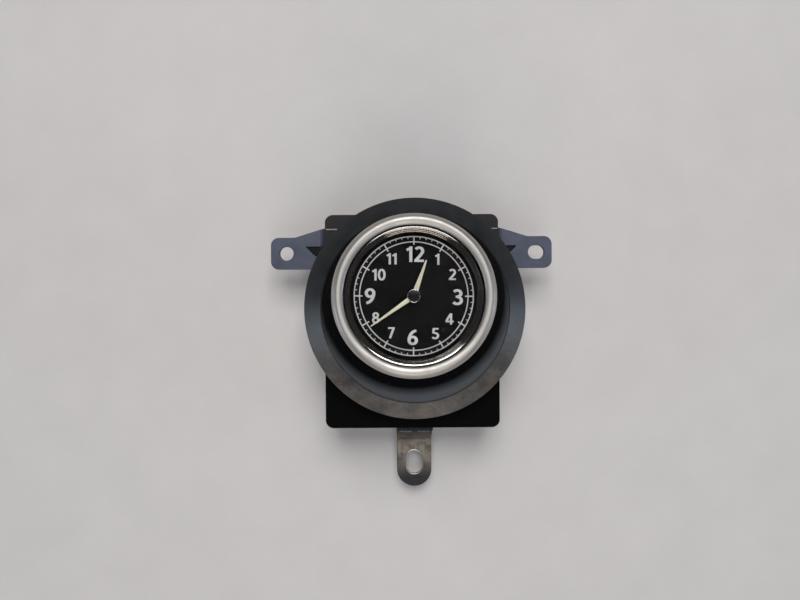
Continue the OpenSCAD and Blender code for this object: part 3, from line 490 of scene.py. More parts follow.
@dataclass(frozen=True)
class Laminate(Finish):
    """Circuit board: green mask with paler tracks over a woven base."""

    track: Colour = (0.1, 0.34, 0.16)
    track_scale: float = 260.0
    track_w: float = 0.08
    weave_scale: float = 1800.0
    weave_depth: float = 0.02

    def paint(self, sheet: Sheet) -> None:
        """Brick cells draw the tracks and a fine noise draws the weave.

        Args:
            sheet: Node tree to draw in.
        """
        at = sheet.coords()
        mask = (*self.colour, 1.0)
        cells = sheet.add("TexBrick", Vector=at, Scale=self.track_scale, Mortar_Size=self.track_w,
                          Color1=mask, Color2=mask, Mortar=(*self.track, 1.0))
        weave = sheet.noise(at, self.weave_scale, detail=2.0)
        sheet.feed(sheet.shader, Base_Color=cells.outputs["Color"], Roughness=self.gloss(sheet, weave, 0.8, 1.2))
        sheet.relief(sheet.sum(weave, cells.outputs["Fac"], 0.6), 0.4, self.weave_depth)


HEAD_UP = 9.2
INK = Moulded("dial_ink", (0.568, 0.568, 0.554), 0.5, (0.497, 0.497, 0.49), 300.0, 3000.0, 0.01)
CAP_RIM = Metal("cap_rim", (0.75, 0.75, 0.74), 0.18, (0.6, 0.6, 0.6), ring_up=HEAD_UP)
# Painted highlight: a pale strip where the step's rounded edge catches the light from 12 o'clock.
STEP_HIGHLIGHT = Moulded("step_edge_highlight", (0.30, 0.30, 0.29), 0.5, (0.20, 0.20, 0.20), 700.0, 2600.0)
SLOT_BURR = Metal("slot_burr", (0.62, 0.58, 0.5), 0.35, (0.42, 0.38, 0.32), line_scale=1600.0)


class Slot(Enum):
    """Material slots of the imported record, each with its finish."""

    SATIN_METAL = Metal("satin_silver", (0.462, 0.441, 0.416), 0.50, (0.405, 0.382, 0.358), ring_up=HEAD_UP)
    POLISHED_METAL = Metal(
        "polished_ring", (0.40, 0.378, 0.355), 0.09, (0.29, 0.268, 0.246), 160.0, 2300.0, 0.012, HEAD_UP)
    LENS_GLASS = Clear("lens_glass", (1.0, 1.0, 1.0), 0.03, 1.08)
    CLEAR_PLASTIC = Clear("light_guide_acrylic", (0.93, 0.96, 0.97), 0.2, 1.49)
    DIAL_PAINT = Moulded(
        "dial_black", (0.0025, 0.0025, 0.0026), 0.6, (0.004, 0.004, 0.004), 400.0, 5200.0, 0.006, 0.0, 0.1)
    HAND_PAINT = Moulded("hand_ivory", (0.672, 0.638, 0.504), 0.5, (0.605, 0.563, 0.42), 500.0, 3600.0, 0.01)
    CAP_BLACK = Moulded(
        "cap_gloss_black", (0.002, 0.002, 0.002), 0.3, (0.004, 0.004, 0.004), 600.0, 4000.0, 0.002, 0.0, 0.2)
    # The shroud's finish paints shade round the neck, a warm reflection with the dust low on the cone, and a bluish
    # tint on its reflections.
    SHROUD_PLASTIC = DustyPaintedLight(
        "shroud_black", (0.0045, 0.0052, 0.0066), 0.40, (0.012, 0.0128, 0.0145), 150.0, 2400.0, 0.012, 0.25, 0.55)
    # The case's finish paints shade on its front face toward 6 o'clock.
    CASE_PLASTIC = Faced(
        "case_black", (0.006, 0.006, 0.0062), 0.45, (0.012, 0.012, 0.0122), 110.0, 1900.0, 0.02, 0.15, 0.2)
    CONNECTOR_PLASTIC = Moulded("connector_black", (0.02, 0.02, 0.022), 0.45, (0.03, 0.03, 0.032), 200.0, 2600.0)
    BOBBIN_PLASTIC = Moulded("bobbin_black", (0.025, 0.025, 0.027), 0.5, (0.04, 0.04, 0.042), 300.0)
    CHIP_PLASTIC = Moulded("chip_black", (0.02, 0.02, 0.02), 0.6, (0.035, 0.035, 0.035), 700.0, 5000.0, 0.02)
    PALE_PLASTIC = Moulded("nylon_cream", (0.74, 0.70, 0.60), 0.5, (0.66, 0.61, 0.50), 200.0)
    GEAR_PLASTIC = Moulded("gear_acetal", (0.74, 0.72, 0.64), 0.42, (0.66, 0.63, 0.54), 240.0)
    LAMP_PLASTIC = Moulded("lamp_resin", (0.82, 0.78, 0.52), 0.3, (0.76, 0.70, 0.42), 500.0)
    SEAL_RUBBER = Moulded(
        "seal_black", (0.006, 0.006, 0.006), 0.8, (0.012, 0.012, 0.012), 260.0, 1500.0, 0.02, 0.0, 0.2)
    EAR_COAT = Moulded(
        "ear_blue_grey", (0.046, 0.054, 0.086), 0.42, (0.068, 0.076, 0.114), 170.0, 1500.0, 0.016, 0.3, 0.35)
    STRAP_STEEL = WornSteel("strap_worn", (0.33, 0.285, 0.235), 0.55)
    RIVET_METAL = Metal("rivet_steel", (0.16, 0.16, 0.16), 0.45, (0.10, 0.10, 0.10), 300.0)
    BRIGHT_STEEL = Metal("screw_zinc", (0.66, 0.66, 0.64), 0.3, (0.52, 0.51, 0.47), 400.0)
    BRASS = Metal("brass", (0.74, 0.55, 0.24), 0.28, (0.58, 0.41, 0.18), 200.0)
    SOFT_IRON = Metal("soft_iron", (0.42, 0.42, 0.42), 0.42, (0.32, 0.31, 0.30), 260.0)
    COPPER = Metal("enamelled_copper", (0.72, 0.33, 0.14), 0.3, (0.58, 0.25, 0.10), 350.0)
    MAGNET = Moulded("magnet_grey", (0.10, 0.10, 0.11), 0.4, (0.15, 0.15, 0.16), 500.0)
    PIN_METAL = Metal("pin_gilt", (0.80, 0.62, 0.28), 0.24, (0.66, 0.5, 0.24), 500.0)
    CAN_METAL = Metal("crystal_can", (0.70, 0.70, 0.68), 0.26, (0.58, 0.57, 0.55), 300.0)
    CAPACITOR_SLEEVE = Moulded("capacitor_blue", (0.03, 0.035, 0.085), 0.35, (0.04, 0.045, 0.10), 300.0)
    BOARD_LAMINATE = Laminate("board_green", (0.02, 0.12, 0.05), 0.35)
    RIBBON_FILM = Moulded("ribbon_amber", (0.52, 0.27, 0.05), 0.3, (0.44, 0.21, 0.04), 260.0)

    @property
    def word(self) -> str:
        """Name of the slot in the record."""
        return self.name.lower()


# ---- meshes


def shown(name: str, data: bpy.types.ID) -> bpy.types.Object:
    """New object of the scene that shows the data."""
    bpy.context.scene.collection.objects.link(obj := bpy.data.objects.new(name, data))
    return obj


def grid_of(x: Array, y: Array, z: Array) -> Array:
    """Grid of points from coordinates that are stretched to one shape."""
    return np.stack(np.broadcast_arrays(x, y, z), -1)


class Mould:
    """Gathers grids of points into one closed mesh and makes a piece of it."""

    def __init__(self) -> None:
        """Starts with no points and no faces."""
        self.points: list[Array] = []
        self.faces: list[list[int]] = []
        self.count = 0

    def grid(self, points: Array, wrap: bool = False) -> "Mould":
        """Joins a grid of points into four-sided faces; each row is a loop.

        Args:
            points: Array of shape (u, v, 3).
            wrap: Whether the last row joins the first. Where it doesn't, both rows are filled.

        Returns:
            The mould itself.
        """
        rows, columns = points.shape[:2]
        index = np.arange(rows * columns).reshape(rows, columns) + self.count
        if wrap:
            index = np.vstack([index, index[:1]])
        index = np.hstack([index, index[:, :1]])
        quads = np.stack([index[:-1, :-1], index[:-1, 1:], index[1:, 1:], index[1:, :-1]], axis=-1)
        self.faces += quads.reshape(-1, 4).tolist()
        if not wrap:
            self.faces += [index[0, :columns][::-1].tolist(), index[-1, :columns].tolist()]
        self.points.append(points.reshape(-1, 3))
        self.count += rows * columns
        return self

    def piece(self, name: str, body: Body, finish: Finish | Slot, sharp: float = 32.0) -> bpy.types.Object:
        """Makes the object, with seams merged, faces outward and edges sharp past an angle.

        Args:
            name: Name of the piece.
            body: Body that it rides on.
            finish: Its finish, or the record slot that it takes its finish from.
            sharp: Angle in degrees past which an edge stays sharp.

        Returns:
            The new object.
        """
        mesh = bpy.data.meshes.new(name)
        mesh.from_pydata((np.vstack(self.points) * MM).tolist(), [], self.faces)
        work = bmesh.new()
        work.from_mesh(mesh)
        bmesh.ops.remove_doubles(work, verts=work.verts, dist=WELD)
        bmesh.ops.recalc_face_normals(work, faces=work.faces)
        work.to_mesh(mesh)
        work.free()
        mesh.polygons.foreach_set("use_smooth", np.ones(len(mesh.polygons), bool))
        mesh.set_sharp_from_angle(angle=math.radians(sharp))
        obj = shown(name, mesh)
        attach(obj, body.value)
        if isinstance(finish, Slot):
            finish = finish.value
        finish.dress(obj)
        LOG.info("piece %s: %d faces on %s", name, len(mesh.polygons), body.value)
        return obj


def turned(profile: Array, segments: int) -> Array:
    """Carries a closed profile round an upright axis: point = (cx + r cos a, cy + r sin a, s).

    Args:
        profile: Rows of radius r and height s, and of the centre (cx, cy) where it isn't the dial axis.
        segments: Steps in the turn.

    Returns:
        Grid of shape (segments, n, 3).
    """
    angle = np.linspace(0.0, TURN, segments, endpoint=False)[:, None]
    radius, height, *middle = profile.T
    x, y = middle or (0.0, HEAD_UP)
    return grid_of(x + radius * np.cos(angle), y + radius * np.sin(angle), height)


def normals(path: Array, closed: bool) -> Array:
    """Unit normal at each point of a path or loop, square to the step from the point before to the point after."""
    step = np.roll(path, -1, 0) - np.roll(path, 1, 0) if closed else np.gradient(path, axis=0)
    return np.stack([-step[:, 1], step[:, 0]], 1) / np.linalg.norm(step, axis=1)[:, None]


def ribbon(path: Array, half: Array, low: float, high: float, closed: bool = False, edge: float = 0.025) -> Array:
    """Carries a flat strip with softened edges along a path in the plane.

    The strip's two sides are the path plus and minus half its width along the path's normal.

    Args:
        path: Points of shape (n, 2).
        half: Half width at each point.
        low: Height of the underside.
        high: Height of the top.
        closed: Whether the path is a loop.
        edge: Width of the softened edge.

    Returns:
        Grid of shape (n, 6, 3).
    """
    across = np.stack([-half, -half, edge - half, half - edge, half, half], 1)
    brink = high - edge * 0.6
    flat = path[:, None] + across[:, :, None] * normals(path, closed)[:, None]
    return grid_of(flat[..., 0], flat[..., 1], np.array([low, brink, high, high, brink, low]))


def arc(x: float, y: float, rx: float, ry: float, start: float, end: float, steps: int = 25) -> Array:
    """Points of an ellipse: centre plus (rx cos a, ry sin a) for a from start to end in degrees."""
    a = np.radians(np.linspace(start, end, steps))
    return np.stack([x + rx * np.cos(a), y + ry * np.sin(a)], 1)


def loop(x: float, y: float, rx: float, ry: float, steps: int) -> Array:
    """Points of a whole ellipse, each once."""
    return arc(x, y, rx, ry, 0, 360, steps + 1)[:-1]


def line(*corners: Span) -> Array:
    """Points of a broken line through the corners."""
    return np.array(corners, float)


def spun(points: Array, degrees: float) -> Array:
    """Points turned about the Z axis: x' = x cos a - y sin a, y' = x sin a + y cos a."""
    c, s = math.cos(math.radians(degrees)), math.sin(math.radians(degrees))
    return points @ np.array([[c, s, 0.0], [-s, c, 0.0], [0.0, 0.0, 1.0]])


@dataclass(frozen=True)
class Head:
    """Heights of the head and the places of its two axes, as in the part's source.

    The shroud rests on the collar at seat, the dial's face is at dial, and the lens reaches from lens to lens_top.
    """

    head_up: float = HEAD_UP
    skirt_up: float = 4.9
    skirt_shift: float = 0.8
    seat: float = 36.5
    dial: float = 57.5
    lens: float = 62.8
    lens_top: float = 64.8
    seal_t: float = 0.8
    bezel_rise: float = 1.2

    @property
    def offset(self) -> float:
        """Distance between the skirt's axis and the dial axis."""
        return math.hypot(self.skirt_shift, self.head_up - self.skirt_up)

    def place(self, points: Array) -> Array:
        """Moves points drawn on the dial axis to their place."""
        return points + np.array([0.0, self.head_up, 0.0])


HEAD = Head()


# ---- sub-assemblies


@dataclass
class Bezel:
    """Satin ring over the neck, the polished ring inside it, and their finishes."""

    outer_r: float = 26.65
    crest_r: float = 24.45
    lip_r: float = 22.65
    lip_h: float = 0.12
    foot_drop: float = 5.0
    foot_bevel: float = 0.25
    shoulder_drop: float = 0.5
    neck_r: float = 25.15
    lens_r: float = 24.35
    reflector_out: float = 22.8
    reflector_in: float = 20.9
    reflector_gap: float = 0.2
    rim: float = 0.4
    toe_w: float = 0.06
    toe: Span = (0.5, 0.4)
    treads: tuple[float, ...] = (0.26, 0.40, 0.18, 0.16, 0.18, 0.16)
    leans: tuple[float, ...] = (15.0, 29.5, 4.0, 29.5, 4.0, 29.5)
    riser: float = 0.005
    riser_h: float = 0.63
    tread_sharp: float = 15.0
    segments: int = 320

    def ring_profile(self) -> Array:
        """Outer quarter ellipse, inner quarter ellipse and the stepped hollow.

        Returns:
            Closed profile of (radius, height).
        """
        wide, top, rise = HEAD.lens - self.shoulder_drop, HEAD.lens_top, HEAD.bezel_rise
        foot, seal = HEAD.dial - self.foot_drop, HEAD.lens - HEAD.seal_t
        outer = arc(self.crest_r, wide, self.outer_r - self.crest_r, top + rise - wide, 0, 90, 40)
        inner = arc(self.crest_r, top + self.lip_h, self.crest_r - self.lip_r, rise - self.lip_h, 90, 180, 24)[1:]
        hollow = line((self.lip_r, top), (self.lens_r, top), (self.lens_r, seal), (self.neck_r, seal),
                      (self.neck_r, foot), (self.outer_r - self.foot_bevel, foot),
                      (self.outer_r, foot + self.foot_bevel))
        return np.vstack([outer, inner, hollow])

    def reflector_profile(self) -> Array:
        """Turned steps from the lens to the dial: treads lean toward the axis, with upright risers between them.

        Returns:
            Closed profile of (radius, height).
        """
        top, low = HEAD.lens - self.reflector_gap, self.reflector_in
        treads = np.array(self.treads)
        drops = np.stack([-treads, -treads * np.tan(np.radians(self.leans))], 1)
        rows = np.stack([drops, np.broadcast_to((-self.riser, -self.riser_h), drops.shape)], 1)
        start = line((self.reflector_out - self.rim, top))
        foot = line((low + self.toe_w, HEAD.dial + self.toe[0]), (low, HEAD.dial + self.toe[1]), (low, HEAD.dial))
        back = line((self.reflector_out, HEAD.dial), (self.reflector_out, top))
        return np.vstack([back, start, np.cumsum(rows.reshape(-1, 2), 0) + start, foot])

    def build(self) -> None:
        """Makes both rings in place of the plain ones."""
        ring = Mould().grid(turned(self.ring_profile(), self.segments), wrap=True)
        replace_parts(ring.piece("bezel_turned", Body.CASE, Slot.SATIN_METAL), "bezel_ring")
        cone = Mould().grid(turned(self.reflector_profile(), self.segments), wrap=True)
        piece = cone.piece("reflector_turned", Body.CASE, Slot.POLISHED_METAL, self.tread_sharp)
        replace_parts(piece, "reflector_ring")


@dataclass(frozen=True)
class Numeral:
    """One number on the dial: its digits, middle and height."""

    digits: str
    x: float
    y: float
    tall: float


def glyph(digit: str) -> list[tuple[Array, bool]]:
    """Middle lines of a digit one unit tall, each with whether it is a loop.

    Args:
        digit: The digit.

    Returns:
        The strokes, on a base line at 0 and centred on 0.
    """
    six = [(loop(0.0, 0.300, 0.198, 0.228, 40), True), (arc(0.235, 0.30, 0.433, 0.632, 96, 180), False)]
    strokes = {
        "0": [(loop(0.0, 0.5, 0.202, 0.428, 48), True)],
        "1": [(line((0.05, 0.0), (0.05, 0.5), (0.05, 1.0)), False),
              (line((0.06, 0.90), (-0.05, 0.84), (-0.175, 0.765)), False)],
        "2": [(np.vstack([arc(-0.005, 0.70, 0.196, 0.226, 150, -25, 25), line((0.02, 0.36), (-0.2, 0.085))]), False),
              (line((-0.262, 0.075), (0.0, 0.075), (0.262, 0.075)), False)],
        "3": [(arc(-0.03, 0.735, 0.195, 0.193, 148, -92), False), (arc(-0.03, 0.292, 0.222, 0.22, 92, -150), False),
              (line((-0.11, 0.528), (-0.02, 0.528)), False)],
        "4": [(line((0.085, 0.94), (-0.09, 0.62), (-0.245, 0.30)), False),
              (line((-0.295, 0.275), (0.0, 0.275), (0.305, 0.275)), False),
              (line((0.115, 0.0), (0.115, 0.5), (0.115, 1.0)), False)],
        "5": [(line((-0.185, 0.925), (0.0, 0.925), (0.225, 0.925)), False),
              (line((-0.135, 0.97), (-0.15, 0.75), (-0.165, 0.52)), False),
              (arc(-0.035, 0.305, 0.228, 0.238, 112, -146), False)],
        "6": six,
        "7": [(line((-0.245, 0.925), (0.0, 0.925), (0.252, 0.925)), False),
              (line((0.185, 0.95), (0.04, 0.5), (-0.105, 0.0)), False)],
        "8": [(loop(0.0, 0.735, 0.168, 0.193, 40), True), (loop(0.0, 0.282, 0.2, 0.21, 40), True)],
        "9": [(np.array([0.0, 1.0]) - path, closed) for path, closed in six],
    }
    return strokes[digit]


@dataclass
class DialFace:
    """Printed minute track and numbers on the black dial."""

    track_out: float = 19.6
    track_in: float = 17.86
    line_w: float = 0.36
    hour_in: float = 16.9
    hour_w: float = 0.44
    minute_l: float = 0.75
    minute_w: float = 0.26
    ink_t: float = 0.05
    sink: float = 0.02
    tick_up: float = 0.004
    stroke_up: float = 0.003
    ring_steps: int = 240
    stem: float = 0.1
    thin: float = 0.074
    wide: float = 1.2
    turn: float = -0.6
    advance: float = 0.67
    narrow: float = 0.52
    numerals: tuple[Numeral, ...] = tuple(Numeral(*row) for row in (
        ("12", 0.38, 13.78, 5.1), ("1", 7.83, 12.14, 3.65), ("2", 12.67, 7.15, 3.65), ("3", 14.48, -0.3, 5.2),
        ("4", 11.8, -7.49, 3.65), ("5", 7.18, -12.3, 3.65), ("6", -0.3, -13.57, 5.1), ("7", -7.33, -12.1, 3.65),
        ("8", -12.5, -7.2, 3.65), ("9", -14.4, -0.1, 5.2), ("10", -11.57, 7.0, 3.8), ("11", -7.2, 12.25, 3.65)))

    @property
    def levels(self) -> Span:
        """Heights of the underside and top of the ink."""
        return HEAD.dial - self.sink, HEAD.dial + self.ink_t

    def place(self, points: Array) -> Array:
        """Turns points of the print by the dial's small turn about its axis and moves them to their place."""
        return HEAD.place(spun(points, self.turn))

    def track(self) -> Mould:
        """Two rings and sixty ticks, each tick a strip along its own radius.

        Returns:
            The mould of the whole track.
        """
        mould, (low, high) = Mould(), self.levels
        for radius in (self.track_out, self.track_in):
            circle = loop(0.0, 0.0, radius, radius, self.ring_steps)
            half = np.full(self.ring_steps, self.line_w / 2)
            mould.grid(self.place(ribbon(circle, half, low, high, True)), wrap=True)
        for minute in range(60):
            hour = minute % 5 == 0
            inner = self.hour_in if hour else self.track_out - self.minute_l
            width = self.hour_w if hour else self.minute_w
            a = math.radians(90 - 6 * minute)
            radii = np.linspace(inner, self.track_out, 2)
            path = np.stack([radii * math.cos(a), radii * math.sin(a)], 1)
            mould.grid(self.place(ribbon(path, np.full(2, width / 2), low, high + self.tick_up)))
        return mould

    def numbers(self) -> Mould:
        """Each digit's strokes as strips that are wider where they run upright.

        Returns:
            The mould of all numbers.
        """
        mould, (low, high) = Mould(), self.levels
        for numeral in self.numerals:
            widths = [self.narrow if digit == "1" else self.advance for digit in numeral.digits]
            starts = np.cumsum([0.0, *widths])
            for digit, start, width in zip(numeral.digits, starts, widths):
                shift = np.array([start + width / 2 - starts[-1] / 2, -0.5])
                for rank, (slim, closed) in enumerate(glyph(digit)):
                    path = slim * np.array([self.wide, 1.0])
                    upright = np.abs(normals(path, closed)[:, 0])
                    half = (self.thin + (self.stem - self.thin) * upright) * numeral.tall
                    flat = (path + shift) * numeral.tall + np.array([numeral.x, numeral.y])
                    top = high + self.stroke_up * rank
                    mould.grid(self.place(ribbon(flat, half, low, top, closed)), wrap=closed)
        return mould

    def build(self) -> None:
        """Makes the track and the numbers."""
        self.track().piece("dial_track", Body.CASE, INK)
        self.numbers().piece("dial_numbers", Body.CASE, INK)


@dataclass
class Pointer:
    """A tapered hand with a ridge along its middle, and the eye that holds it on its pipe."""

    name: str
    node: str
    body: Body
    angle: float
    length: float
    root_w: float
    tip_w: float
    eye_r: float
    bore_r: float
    rise: float
    thick: float = 0.4
    boss_t: float = 0.6
    boss_in: float = 0.2
    eye_soft: float = 0.12
    eye_drop: float = 0.02
    nose: Span = (0.35, 0.12)
    nose_w: Span = (0.32, 0.03)
    sharp: float = 25.0
    segments: int = 96

    def blade(self) -> Array:
        """Six-sided cross-sections: half width falls straight from root to tip, then to a point.

        Returns:
            Grid of shape (n, 6, 3).
        """
        taper = self.length - self.nose[0]
        body = np.linspace(self.eye_r, taper, 12)
        along = np.array([self.bore_r + self.boss_in, *body, self.length - self.nose[1], self.length])
        half = 0.5 * (self.root_w + (self.tip_w - self.root_w) * along / taper)
        half[-2:] = self.tip_w * self.nose_w[0], self.nose_w[1]
        across = np.array([-1.0, -1.0, 0.0, 1.0, 1.0, 0.0])
        height = HEAD.dial + self.rise + self.thick * np.array([0.1, 0.62, 1.0, 0.62, 0.1, 0.0])
        return grid_of(half[:, None] * across, along[:, None], height)

    def build(self) -> None:
        """Makes the hand in place of the flat one."""
        low, top = HEAD.dial + self.rise, HEAD.dial + self.rise + self.thick
        boss, lid = self.eye_r - self.boss_in, top - self.eye_drop
        eye = line((self.bore_r, low - self.boss_t), (boss, low - self.boss_t), (boss, low),
                   (self.eye_r, low + self.eye_soft / 2), (self.eye_r, top - self.eye_soft),
                   (self.eye_r - self.eye_soft, lid), (self.bore_r, lid))
        mould = Mould().grid(HEAD.place(spun(self.blade(), -self.angle)))
        mould.grid(turned(eye, self.segments), wrap=True)
        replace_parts(mould.piece(self.name, self.body, Slot.HAND_PAINT, self.sharp), self.node)


@dataclass
class HubCap:
    """Domed black cap with a thin bright rim."""

    radius: float = 2.1
    rise: float = 3.1
    wall: float = 1.0
    dome: float = 0.3
    rim: float = 0.16
    rim_swell: Span = (0.6, 0.75)
    segments: int = 96

    def build(self) -> None:
        """Makes the cap and its rim on the minute hand."""
        low = HEAD.dial + self.rise
        top = arc(0.0, low + self.wall, self.radius - self.rim, self.dome, 0, 90, 20)
        top[-1, 0] = 0.0
        cap = turned(np.vstack([line((0.0, low), (self.radius - self.rim, low)), top]), self.segments)
        piece = Mould().grid(cap, wrap=True).piece("hub_cap_dome", Body.MINUTE, Slot.CAP_BLACK)
        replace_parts(piece, "hub_cap")
        wide, tall = self.rim * self.rim_swell[0], self.rim * self.rim_swell[1]
        bead = turned(loop(self.radius - self.rim / 2, low + self.wall, wide, tall, 16), self.segments)
        Mould().grid(bead, wrap=True).piece("hub_cap_rim", Body.MINUTE, CAP_RIM)


@dataclass
class Shroud:
    """Skirt, groove, shelf, cove and neck, turned with soft edges, and the mould seam at 6 o'clock."""

    skirt_r: float = 40.1
    skirt_front_r: float = 33.6
    skirt_rise: float = 5.0
    skirt_t: float = 2.0
    rim_t: float = 0.6
    groove_w: float = 0.5
    shelf_up: float = 0.2
    shelf_w: float = 0.3
    cove_h: float = 6.0
    neck_r: float = 25.0
    neck_in_r: float = 23.0
    ledge_r: float = 20.6
    ledge_s: float = 15.9
    ledge_t: float = 2.0
    ledge_slope: float = 1.0
    web_r: float = 26.0
    web_up: Span = (1.5, 1.0)
    spigot_r: float = 29.0
    spigot_l: float = 6.5
    seat_r: float = 31.6
    foot_soft: float = 0.15
    rim_soft: float = 0.12
    front_soft: Span = (0.14, 0.06)
    shelf_soft: float = 0.1
    seam_x: float = 0.35
    seam_half: float = 0.11
    seam_rows: int = 12
    seam_ends: Span = (0.14, 0.3)
    seam_sink: float = 0.03
    seam_swell: float = 0.035
    seam_lean: Span = (0.6, 0.8)
    segments: int = 360

    def profile(self) -> Array:
        """Closed profile from the rim over skirt, groove and cove to the neck and back along the inside.

        Returns:
            Rows of (radius, height, centre): the skirt's points turn about its own axis and the neck's about the
            dial axis, so the shelf between them is wide at 6 o'clock.
        """
        seat, front = HEAD.seat, HEAD.seat + self.skirt_rise
        shelf, rim = front + self.shelf_up, seat + self.rim_t
        top, ledge = HEAD.lens - HEAD.seal_t, seat + self.ledge_s
        inner, under = self.skirt_front_r - self.groove_w, front - self.skirt_t - self.shelf_up
        floor, bend = seat + self.web_up[0], seat + self.web_up[1]
        sill, end = ledge - self.ledge_t, seat - self.spigot_l
        skirt = line((self.spigot_r, seat), (self.seat_r, seat), (self.seat_r, under), (self.skirt_front_r, under),
                     (self.skirt_r - self.skirt_t, seat), (self.skirt_r - self.foot_soft, seat),
                     (self.skirt_r, seat + self.foot_soft), (self.skirt_r, rim - self.rim_soft),
                     (self.skirt_r - self.rim_soft, rim),
                     (self.skirt_front_r + self.front_soft[0], front - self.front_soft[1]),
                     (self.skirt_front_r, front - self.front_soft[0]),
                     (self.skirt_front_r, front - self.groove_w), (inner, front - self.groove_w),
                     (inner, shelf - self.shelf_soft), (inner - self.shelf_soft, shelf))
        reach = inner - self.shelf_w - HEAD.offset - self.neck_r
        cove = arc(self.neck_r + reach, shelf + self.cove_h, reach, self.cove_h, 270, 180, 30)
        neck = line((self.neck_r, top), (self.neck_in_r, top), (self.neck_in_r, ledge), (self.ledge_r, ledge),
                    (self.ledge_r, sill), (self.neck_in_r, sill - self.ledge_slope), (self.neck_in_r, floor))
        spigot = line((self.web_r, bend), (self.web_r, end), (self.spigot_r, end))
        rows = np.vstack([skirt, cove, neck, spigot])
        skirt_axis = [HEAD.skirt_shift, HEAD.skirt_up]
        axes = np.array([skirt_axis, [0.0, HEAD.head_up], skirt_axis])
        centres = np.repeat(axes, [len(skirt), len(cove) + len(neck), len(spigot)], 0)
        return np.column_stack([rows, centres])

    def seam(self) -> Array:
        """Low ridge left by the mould, down the skirt at 6 o'clock.

        Returns:
            Grid of a thin strip laid along the cone.
        """
        t = np.linspace(0.0, 1.0, self.seam_rows)[:, None]
        radius = self.skirt_r - self.seam_ends[0] - (self.skirt_r - self.skirt_front_r - self.seam_ends[1]) * t
        rise = HEAD.seat + self.rim_t + (self.skirt_rise - self.rim_t) * t
        across = np.array([-1.0, -0.5, 0.5, 1.0]) * self.seam_half + HEAD.skirt_shift + self.seam_x
        bulge = np.array([-self.seam_sink, self.seam_swell, self.seam_swell, -self.seam_sink])
        out, up = self.seam_lean
        return grid_of(across, HEAD.skirt_up - radius - out * bulge, rise + up * bulge)

    def build(self) -> None:
        """Makes the shroud in place of the plain one, and its seam."""
        mould = Mould().grid(turned(self.profile(), self.segments), wrap=True)
        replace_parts(mould.piece("shroud_moulding", Body.CASE, Slot.SHROUD_PLASTIC), "shroud")
        Mould().grid(self.seam()).piece("shroud_seam", Body.CASE, Slot.SHROUD_PLASTIC)


@dataclass
class Coil:
    """Copper winding of the motor, its turns standing out of the sleeve."""

    half: float = 5.0
    radius: float = 2.3
    turns: int = 26
    swell: float = 0.09
    sharp: float = 80.0
    steps: int = 20
    sides: int = 40

    def build(self) -> None:
        """Makes the winding: radius = r - swell (1 - cos(turns x - a)) / 2, a helix of round wire."""
        along = np.linspace(-self.half, self.half, self.steps * self.turns)[:, None]
        angle = np.linspace(0.0, TURN, self.sides, endpoint=False)
        phase = (along + self.half) / (2 * self.half) * TURN * self.turns - angle
        radius = self.radius - self.swell * 0.5 * (1 - np.cos(phase))
        low, high = np.array(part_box("coil_winding"))
        local = grid_of(along, radius * np.cos(angle), radius * np.sin(angle))
        mould = Mould().grid(local + 0.5 * (low + high) / MM)
        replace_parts(mould.piece("coil_turns", Body.CASE, Slot.COPPER, self.sharp), "coil_winding")


